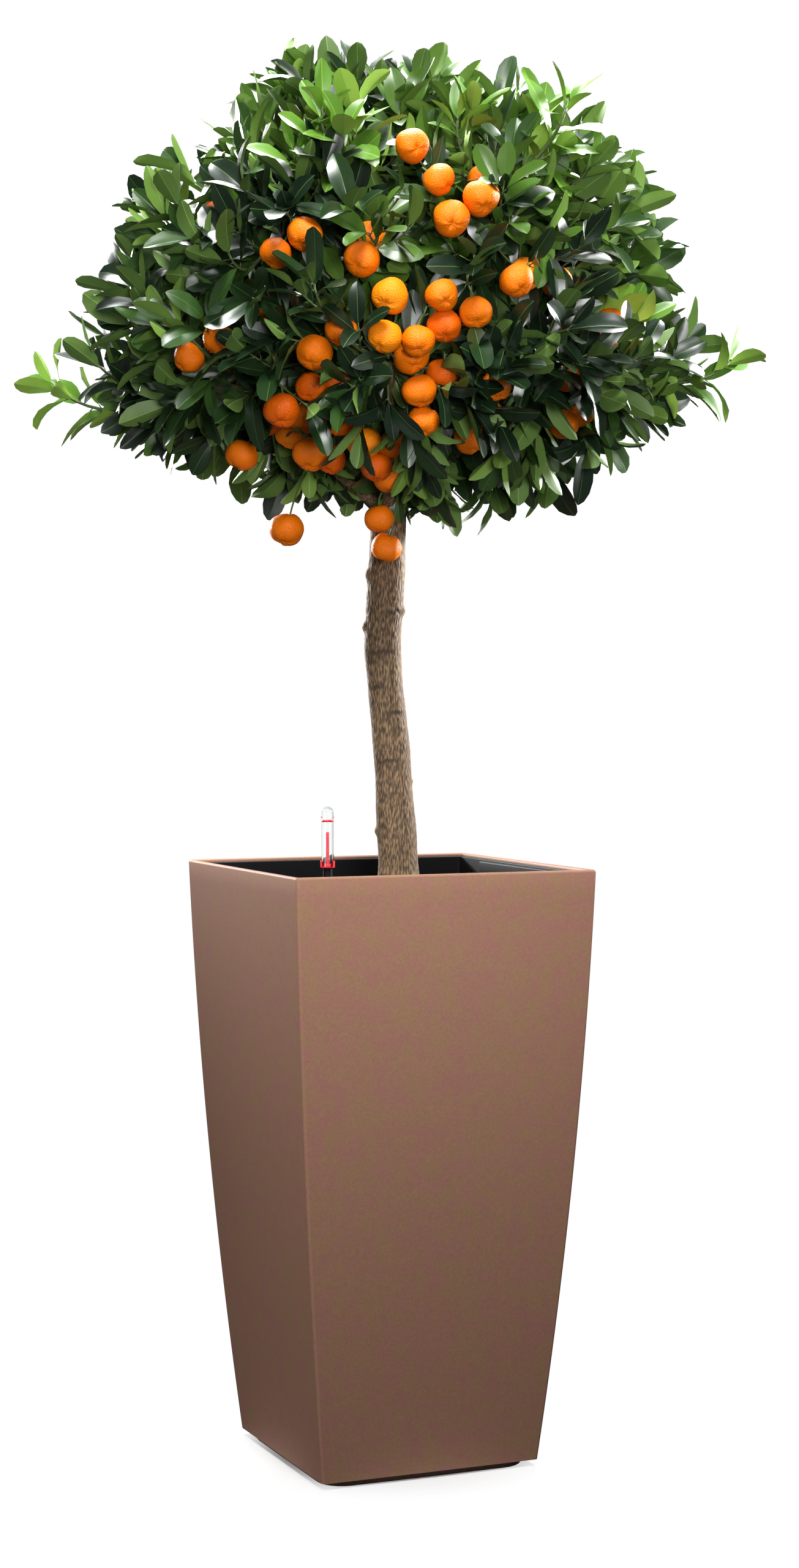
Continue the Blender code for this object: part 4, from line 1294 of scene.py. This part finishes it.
class Crown:
    """Grows twigs, shoots and leaves for each mass."""

    def __init__(self, masses, rng):
        self.rng = rng
        self.twigs = {mass: [] for mass in masses}
        self.tubes = {mass: [] for mass in masses}
        self.leaves = {mass: [] for mass in masses}
        self.skeleton = []

    def root_for(self, mass, target):
        """Where a twig to the target starts: part way up an earlier twig, or the heart."""
        best = mass.heart
        least = (target - best).length
        for points in self.twigs[mass]:
            start, end = points[0], points[-1]
            along = (end - start).normalized()
            fork = points[len(points) // 2]
            reach = target - fork
            near = reach.length
            if near < least * FORK_GAIN and along.dot(reach.normalized()) > FORK_STRAIGHTNESS:
                best = fork
                least = near
        return best

    def grow_twig(self, mass, target, stray):
        outward = (target - crown_centre()).normalized()
        lift = TIP_LIFT * max(0.0, min(1.0, 1.0 + 2.0 * outward.z))
        finish_along = (outward + UP * lift).normalized()
        tip = target - finish_along * TIP_ROOM
        start = self.root_for(mass, tip)
        points = curve_between(start, tip, finish_along, 2 * SHOOT_POINTS)
        from_heart = start == mass.heart
        root_radius = TWIG_ROOT_RADIUS if from_heart else TWIG_ROOT_RADIUS * 0.75
        self.add_tube(mass, points, root_radius, TWIG_TIP_RADIUS, 6)
        self.twigs[mass].append(points)
        spray = self.spray(target, stray)
        self.dress(mass, points, spray)
        self.grow_side_shoots(mass, points, spray)

    def spray(self, point, stray):
        """The colour kind of a shoot's leaves: 0 to 3 from dark to light, 4 for young ones."""
        up = max(0.0, (point - crown_centre()).normalized().z)
        if stray or self.rng.random() < YOUNG_SHARE + YOUNG_ON_TOP * up:
            return YOUNG
        # Lighter on top: partly younger leaves, partly painted light for sun glowing through the
        # top leaves.
        lightness = self.rng.gauss(LIGHTNESS + TOP_YOUTH_AND_PAINTED_GLOW * up, LIGHTNESS_SPREAD)
        return int(min(YOUNG - 1.0, max(0.0, lightness)))

    def grow_side_shoots(self, mass, points, spray):
        """Short shoots up the twig's sides, each turned on by the golden angle."""
        rng = self.rng
        walked = 0.0
        due = SIDE_SHOOT_FIRST
        roll = rng.uniform(0.0, 2.0 * math.pi)
        for upper, lower in zip(points[:0:-1], points[-2::-1]):
            walked += (upper - lower).length
            if walked < due:
                continue
            due += SIDE_SHOOT_SPACING * rng.uniform(*SIDE_SHOOT_SPACINGS)
            along = (upper - lower).normalized()
            roll += GOLDEN_ANGLE
            out = self.out_of(along, roll)
            outward = (lower - crown_centre()).normalized()
            pointing = along * math.cos(SIDE_SHOOT_SPREAD) + out * math.sin(SIDE_SHOOT_SPREAD)
            lift = max(0.0, SIDE_SHOOT_LIFT + outward.z)
            finish_along = (pointing + outward * SIDE_SHOOT_OUTWARD + UP * lift).normalized()
            length = SIDE_SHOOT_LENGTH * rng.uniform(*SIDE_SHOOT_SIZES)
            length *= min(1.0, END_LENGTH_SHARE + walked / FULL_LENGTH_AT)
            end = lower + (pointing * 0.6 + finish_along * 0.4).normalized() * length
            end = self.keep_in(mass, lower, end)
            if (end - lower).length < SHORTEST_SHOOT:
                continue
            path = curve_between(lower, end, finish_along, SHOOT_POINTS)
            self.add_tube(mass, path, TWIG_TIP_RADIUS * 1.15, SHOOT_TIP_RADIUS, 5)
            kind = spray if rng.random() < SAME_SPRAY_SHARE else self.spray(end, False)
            self.dress(mass, path, kind)

    def keep_in(self, mass, start, end):
        """The end, brought back towards the start until its leaves stay in the crown."""
        for share in (1.0, 0.8, 0.6, 0.4, 0.2):
            tip = start.lerp(end, share)
            ray = tip - crown_centre()
            if ray.length + SIDE_ROOM < crown_reach(ray.normalized()) * mass.reach:
                return tip
        return start

    def out_of(self, along, roll):
        side = along.cross(UP)
        if side.length < 0.2:
            side = along.cross(TO_RIGHT)
        return Matrix.Rotation(roll, 3, along) @ side.normalized()

    def add_tube(self, mass, points, start_radius, end_radius, sides):
        steps = len(points) - 1
        radii = [start_radius + (end_radius - start_radius) * n / steps for n in range(steps + 1)]
        self.tubes[mass].append((points, radii, sides))
        self.skeleton += points[1:]

    def dress(self, mass, points, kind):
        """Leaves along a shoot from its tip down, close together at the tip."""
        rng = self.rng
        roll = rng.uniform(0.0, 2.0 * math.pi)
        total = sum((b - a).length for a, b in zip(points, points[1:]))
        back = 0.0
        number = 0
        while back < min(LEAFY_LENGTH, total * 0.92):
            place, along = self.point_back(points, back)
            at_tip = number < TIP_LEAVES
            roll += GOLDEN_ANGLE + rng.gauss(0.0, 0.12)
            self.grow_leaf(mass, place, along, roll, at_tip, kind)
            if at_tip:
                back += TIP_SPACING
            else:
                back += LEAF_SPACING * rng.uniform(*LEAF_SPACINGS) * (1.0 + back * 5.0)
            number += 1

    def point_back(self, points, back):
        """The point this far back from a path's end, and the direction there."""
        for upper, lower in zip(points[:0:-1], points[-2::-1]):
            length = (upper - lower).length
            if back <= length:
                return upper.lerp(lower, back / length), (upper - lower).normalized()
            back -= length
        return points[0], (points[1] - points[0]).normalized()

    def grow_leaf(self, mass, place, along, roll, at_tip, kind):
        rng = self.rng
        out = self.out_of(along, roll)
        spread = rng.uniform(*(TIP_ANGLES if at_tip else SIDE_ANGLES))
        outward = (place - crown_centre()).normalized()
        droop = max(0.0, -outward.z) * LEAF_DROOP + 0.04
        pointing = along * math.cos(spread) + out * math.sin(spread) - UP * droop
        pointing.normalize()
        natural = along * math.sin(spread) - out * math.cos(spread)
        light = UP * LEAF_TO_LIGHT + outward * LEAF_TO_OUTSIDE
        jitter = Vector([rng.gauss(0, LEAF_JITTER) for _ in range(3)])
        size = LEAF_LENGTH * rng.uniform(*LEAF_SIZES)
        size *= YOUNG_TIP_SIZE if at_tip and kind == YOUNG else 1.0
        root = place + pointing * PETIOLE_LENGTH
        normal = natural + light + jitter
        self.leaves[mass].append(Leaf(tuple(root), tuple(pointing), tuple(normal), size, kind))
        self.tubes[mass].append(([place, root], [PETIOLE_RADIUS, PETIOLE_RADIUS * 0.8], 3))


def leaf_outline(rows, belly, tip):
    """Half width along a leaf, from 0 to 1, widest where belly and tip balance."""
    peak = belly / (belly + tip)
    top = peak**belly * (1.0 - peak) ** tip
    inside = np.clip(rows, 0.004, 0.996)
    return inside**belly * (1.0 - inside) ** tip / top


def leaf_sheets(leaves, rng):
    """Points of all the leaves' upper and under sheets, as (leaves, rows, columns, 3)."""
    count = len(leaves)
    rows = np.array(LEAF_ROWS)
    roots, along, normal, length, _ = (np.array(values) for values in zip(*leaves))
    across = np.cross(along, normal)
    across /= np.linalg.norm(across, axis=1)[:, None]
    normal = np.cross(across, along)
    width = length * rng.uniform(*LEAF_WIDTHS, count)
    belly = rng.uniform(*LEAF_BELLIES, count)[:, None]
    blunt = rng.uniform(*LEAF_TIPS, count)[:, None]
    half = leaf_outline(rows[None, :], belly, blunt) * width[:, None] / 2.0
    bend = rng.normal(*LEAF_BENDS, count)[:, None] * rows[None, :] ** 1.2
    twist = rng.normal(*LEAF_TWISTS, count)[:, None] * rows[None, :]
    fold = rng.uniform(*LEAF_FOLDS, count)[:, None] * (1.0 - 0.35 * rows[None, :])
    wave = rng.uniform(*LEAF_WAVES, count)[:, None]
    phase = rng.uniform(0.0, 2.0 * math.pi, count)[:, None]

    tangent = np.cos(bend)[..., None] * along[:, None] - np.sin(bend)[..., None] * normal[:, None]
    upright = np.sin(bend)[..., None] * along[:, None] + np.cos(bend)[..., None] * normal[:, None]
    steps = np.diff(rows)[None, :, None] * length[:, None, None]
    middles = (tangent[:, 1:] + tangent[:, :-1]) / 2.0 * steps
    spine = np.concatenate([np.zeros((count, 1, 3)), np.cumsum(middles, 1)], 1)
    spine += roots[:, None]
    turned = np.cos(twist)[..., None] * across[:, None] + np.sin(twist)[..., None] * upright
    raised = -np.sin(twist)[..., None] * across[:, None] + np.cos(twist)[..., None] * upright

    columns = np.array(LEAF_COLUMNS)
    side = columns * half[..., None]
    level = side * np.cos(fold)[..., None]
    level = level + np.array(RIB_COLUMNS) * np.minimum(RIB_HALF_WIDTH, half * 0.4)[..., None]
    rise = np.abs(side) * np.sin(fold)[..., None]
    ripple = np.sin(rows[None, :] * 9.0 + phase)[..., None] * np.sign(columns)
    ripple = ripple * np.abs(columns) ** 2 * (wave * half)[..., None]
    rise = rise - 0.10 * half[..., None] * columns**2 + ripple
    upper = spine[:, :, None] + level[..., None] * turned[:, :, None]
    upper = upper + rise[..., None] * raised[:, :, None]
    depth = np.array(LEAF_DEPTHS) * LEAF_THICKNESS * np.minimum(1.0, half / 0.002)[..., None]
    return upper, upper - depth[..., None] * raised[:, :, None]


def add_leaves(shape, leaves, rng):
    """Adds leaves: an upper and an under sheet each, with the midrib in its own colour."""
    upper, under = leaf_sheets(leaves, rng)
    count, rows, columns = upper.shape[:3]
    patch = grid_faces(rows, columns, False)
    starts = (np.arange(count) * rows * columns)[:, None, None]
    is_rib = np.tile(np.arange(columns - 1) == 2, rows - 1)[None, :]
    kinds = np.array([leaf.kind for leaf in leaves])[:, None]
    ribs = np.where(kinds == YOUNG, RIB_SLOT + 1, RIB_SLOT)
    numbers = np.where(is_rib, ribs, kinds)
    shape.add(upper, (patch[None] + starts).reshape(-1, 4), numbers.ravel())
    # Under sides take a lighter colour where the upper is lighter, so they carry the same painted
    # glow on top.
    numbers = np.where(is_rib, UNDER_RIB_SLOT, UNDER_SLOT + kinds // 2)
    backward = patch[:, (0, 3, 2, 1)]
    shape.add(under, (backward[None] + starts).reshape(-1, 4), numbers.ravel())


def leaf_materials():
    """Upper sides from dark to young, two midribs, under sides, and the under midrib."""
    found = []
    for number, colour in enumerate(UPPER_GREENS):
        found.append(plain(f"leaf_upper_{number}", srgb(colour), 0.30, Specular_IOR_Level=0.52))
    for number, colour in enumerate(RIB_GREENS):
        found.append(plain(f"leaf_rib_{number}", srgb(colour), 0.40))
    for number, colour in enumerate(UNDER_GREENS):
        found.append(plain(f"leaf_under_{number}", srgb(colour), 0.55))
    found.append(plain("leaf_under_rib", srgb(UNDER_RIB_GREEN), 0.50))
    return found


def clear_of_fruit(leaves, fruits, rng):
    """Drops leaves that would cut into a fruit, and a few of those that hide an open one."""
    roots, alongs, normals, lengths, _ = (np.array(values) for values in zip(*leaves))
    alongs_full = alongs * lengths[:, None]
    sides = np.cross(alongs, normals)
    sides *= lengths[:, None] * LEAF_ASPECT * 0.45 / np.linalg.norm(sides, axis=1)[:, None]
    keep = np.ones(len(leaves), bool)
    viewer = np.array(TO_VIEWER)
    for fruit in fruits:
        middle = np.array(fruit.place)
        outward = np.array((fruit.place - crown_centre()).normalized())
        if outward @ viewer > 0.2:
            outward += viewer
        outward /= np.linalg.norm(outward)
        bared = 0.0 if fruit.shaded else BARED_SHARE
        for share in (0.2, 0.45, 0.7, 0.95):
            points = roots + alongs_full * share - middle
            for side in (-1.0, 0.0, 1.0):
                distance = np.linalg.norm(points + sides * side, axis=1)
                keep &= distance > fruit.radius + LEAF_ROOM
            ahead = points @ outward
            aside = np.linalg.norm(points - ahead[:, None] * outward, axis=1)
            hides = (ahead > 0.0) & (ahead < HIDING_REACH) & (aside < fruit.radius * 0.9)
            keep &= ~(hides & (rng.random(len(leaves)) < bared))
    return [leaf for leaf, stays in zip(leaves, keep) if stays]


def fruit_rings(fruit):
    """Rings of one fruit from its stalk end down: flattened, lumpy, dimpled at both ends.

    Each term is a share of the radius: three lumps, a dimple and furrows at the stalk, and a
    navel with a small button and furrows at the other end.
    """
    polar = np.linspace(0.05, math.pi - 0.03, FRUIT_RINGS)[:, None]
    round_it = (np.arange(FRUIT_SIDES) * 2.0 * math.pi / FRUIT_SIDES)[None, :]
    a, b, c, d = fruit.phases
    low = math.pi - polar
    size = 1.0 + 0.038 * np.cos(3.0 * round_it + a) * np.sin(polar)
    size = size + 0.032 * np.cos(2.0 * round_it + b) * np.sin(2.0 * polar + c)
    size = size + 0.024 * np.cos(5.0 * round_it + d) * np.sin(3.0 * polar)
    size = size - 0.12 * np.exp(-((polar / 0.22) ** 2))
    furrows = 0.5 + 0.5 * np.cos(9.0 * round_it + a)
    size = size - 0.052 * furrows * np.exp(-(((polar - 0.36) / 0.26) ** 2))
    size = size - 0.26 * np.exp(-((low / 0.20) ** 2)) + 0.06 * np.exp(-((low / 0.08) ** 2))
    size = size - 0.058 * furrows * np.exp(-(((low - 0.38) / 0.24) ** 2))
    out = size * np.sin(polar)
    local = np.stack(
        np.broadcast_arrays(
            out * np.cos(round_it), out * np.sin(round_it), size * np.cos(polar) * FRUIT_FLATNESS
        ),
        -1,
    )
    turn = np.array(UP.rotation_difference(fruit.axis).to_matrix())
    return local * fruit.radius @ turn.T + np.array(fruit.place)


def add_calyx(shape, fruit):
    """A small green star with five lobes at the stalk's end, in shares of the radius."""
    top = 0.905 * FRUIT_FLATNESS
    ring = []
    for step in range(10):
        angle = step * math.pi / 5.0 + fruit.phases[0]
        reach = 0.26 if step % 2 == 0 else 0.12
        lift = 0.02 if step % 2 == 0 else 0.035
        ring.append((reach * math.cos(angle), reach * math.sin(angle), top + lift))
    points = np.array([(0.0, 0.0, top + 0.07), *ring, (0.0, 0.0, top - 0.05)])
    faces = [(0, 1 + n, 1 + (n + 1) % 10) for n in range(10)]
    faces += [(11, 1 + (n + 1) % 10, 1 + n) for n in range(10)]
    turn = np.array(UP.rotation_difference(fruit.axis).to_matrix())
    shape.add(points * fruit.radius @ turn.T + np.array(fruit.place), faces)


def add_stalk(shape, fruit, skeleton):
    """A stalk to the fruit's top, from the nearest twig point above it and inside the crown."""
    top = fruit.place + fruit.axis * fruit.radius * 0.86
    outward = (fruit.place - crown_centre()).normalized()
    wish = top + UP * STALK_SWING - outward * STALK_SWING
    distance = np.linalg.norm(skeleton - np.array(wish), axis=1)
    inside = np.linalg.norm(skeleton - np.array(fruit.place), axis=1) < fruit.radius * 1.25
    start = Vector(skeleton[np.argmin(np.where(inside, np.inf, distance))])
    points = curve_between(start, top, -fruit.axis, 6)
    add_loft(shape, tube_rings(points, np.linspace(*STALK_RADII, 6), 6))


def hang_fruit(fruits, skeleton, peels, green):
    shape = Shape()
    stalks = Shape()
    for fruit in fruits:
        add_loft(shape, fruit_rings(fruit)[::-1], fruit.kind)
        add_calyx(stalks, fruit)
        add_stalk(stalks, fruit, skeleton)
    crop = shape.build("fruit", peels)
    holders = stalks.build("fruit_stalks", [green])


def build_twigs(crown, masses, material):
    """The twigs of all masses, joined."""
    shape = Shape()
    for mass in masses:
        for points, radii, sides in crown.tubes[mass]:
            add_loft(shape, tube_rings(points, radii, sides), cap_start=False)
    twigs = shape.build("twigs", [material])


def build_leaves(crown, masses, fruits, materials):
    """The leaves of one mass after another, joined into pieces of up to MOST_TRIANGLES triangles.
    """
    rng = np.random.default_rng(SEED)
    shape = Shape()
    held = []
    number = 1
    for mass in masses:
        leaves = clear_of_fruit(crown.leaves[mass], fruits, rng)
        if held and shape.triangles() + len(leaves) * LEAF_TRIANGLES > MOST_TRIANGLES:
            finish_leaves(shape, held, number, materials)
            shape = Shape()
            held = []
            number += 1
        add_leaves(shape, leaves, rng)
        held.append(mass.name)
    finish_leaves(shape, held, number, materials)


def finish_leaves(shape, held, number, materials):
    piece = shape.build(f"leaves_{number}", materials)
    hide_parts(*held)


def crown(bark):
    masses = all_masses()
    boughs(masses, bark)
    rng = random.Random(SEED)
    targets = shoot_targets(masses, rng)
    fruits = [Fruit(place, sort, rng) for place, sort in fruit_places(rng)]
    settle_fruit(fruits)
    grown = Crown(masses, rng)
    for mass, target, stray in targets:
        grown.grow_twig(mass, target, stray)
    build_twigs(grown, masses, plain("twig_bark", srgb(TWIG_GREEN), 0.6))
    build_leaves(grown, masses, fruits, leaf_materials())
    peels = [fruit_material(name, srgb(colour)) for name, colour in PEEL_COLOURS.items()]
    green = plain("fruit_stalk_green", srgb(STALK_GREEN), 0.6)
    skeleton = np.array([tuple(point) for point in grown.skeleton])
    hang_fruit(fruits, skeleton, peels, green)


def set_camera():
    data = bpy.data.cameras.new("view")
    data.lens = LENS
    data.sensor_width = SENSOR
    camera = bpy.data.objects.new("view", data)
    camera.location = CAMERA_PLACE
    camera.rotation_euler = (math.pi / 2.0 + CAMERA_PITCH, 0.0, -CAMERA_YAW)
    bpy.context.scene.collection.objects.link(camera)
    bpy.context.scene.camera = camera


def lights():
    for name, (side, near, height), aim_height, size, watts, spread in LIGHTS:
        data = bpy.data.lights.new(name, "AREA")
        data.shape = "RECTANGLE"
        data.size, data.size_y = size
        data.energy = watts
        data.spread = math.radians(spread)
        light = bpy.data.objects.new(name, data)
        place = TO_RIGHT * side + TO_VIEWER * near + UP * height
        light.location = place
        light.rotation_euler = (UP * aim_height - place).to_track_quat("-Z", "Y").to_euler()
        bpy.context.scene.collection.objects.link(light)


def world():
    """A white background, which lights the scene with less than it shows the camera."""
    scene_world = bpy.data.worlds.new("studio")
    scene_world.use_nodes = True
    tree = scene_world.node_tree
    rays = tree.nodes.new("ShaderNodeLightPath").outputs
    seen = tree.nodes.new("ShaderNodeMath")
    seen.operation = "MAXIMUM"
    tree.links.new(rays["Is Camera Ray"], seen.inputs[0])
    tree.links.new(rays["Is Transmission Ray"], seen.inputs[1])
    limits = {"To Min": WORLD_LIGHT, "To Max": 1.0}
    strength = add_node(tree, "ShaderNodeMapRange", Value=seen.outputs["Value"], **limits)
    background = tree.nodes["Background"]
    set_inputs(tree, background, Color=(1.0, 1.0, 1.0, 1.0), Strength=strength.outputs["Result"])
    bpy.context.scene.world = scene_world


def floor():
    """A pale floor that fades out into the background."""
    material = plain("pale_floor", (0.86, 0.86, 0.86), 0.7)
    tree = material.node_tree
    length = tree.nodes.new("ShaderNodeVectorMath")
    length.operation = "LENGTH"
    place = tree.nodes.new("ShaderNodeTexCoord").outputs["Object"]
    tree.links.new(place, length.inputs[0])
    limits = {"From Min": FLOOR_FADE * 0.4, "From Max": FLOOR_FADE}
    fade = add_node(tree, "ShaderNodeMapRange", Value=length.outputs["Value"], **limits)
    fade.interpolation_type = "SMOOTHSTEP"
    clear = tree.nodes.new("ShaderNodeBsdfTransparent")
    mix = add_node(tree, "ShaderNodeMixShader", Fac=fade.outputs["Result"])
    tree.links.new(tree.nodes["Principled BSDF"].outputs["BSDF"], mix.inputs[1])
    tree.links.new(clear.outputs["BSDF"], mix.inputs[2])
    tree.links.new(mix.outputs["Shader"], tree.nodes["Material Output"].inputs["Surface"])
    bpy.ops.mesh.primitive_circle_add(vertices=96, radius=FLOOR_RADIUS, fill_type="NGON")
    ground = bpy.context.object
    ground.name = "floor"
    ground.data.materials.append(material)


def clear_start_up():
    for obj in list(bpy.data.objects):
        bpy.data.objects.remove(obj)


def main():
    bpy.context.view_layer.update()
    set_camera()
    lights()
    world()
    floor()
    bpy.context.scene.view_settings.view_transform = "Standard"
    black = moulded_material("black_plastic", LINER_BLACK, 0.62)
    dark = moulded_material("dark_plastic", FOOT_BROWN, 0.60)
    red = plain("red_plastic", srgb(GAUGE_RED), 0.35)
    # Near-black painted shadow that stands for the grips' holes.
    hole = plain("hole_shadow", HOLE_PAINTED_SHADOW, 0.9)
    clear = plain("clear_plastic", (0.97, 0.99, 0.99), 0.04, Transmission_Weight=1.0, IOR=1.42)
    chips = plain("bark_chip", srgb(CHIP_BROWN), 0.85)
    bark = bark_material()
    planter_body(planter_material())
    plinth(dark)
    liner(black)
    grip("grip_bar_right", "liner_grip_right", 1.0, black, hole)
    grip("grip_bar_left", "liner_grip_left", -1.0, black, hole)
    potting_mix(soil_material(), chips)
    gauge(black, red, clear)
    trunk(bark)
    crown(bark)


clear_start_up()
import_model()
main()
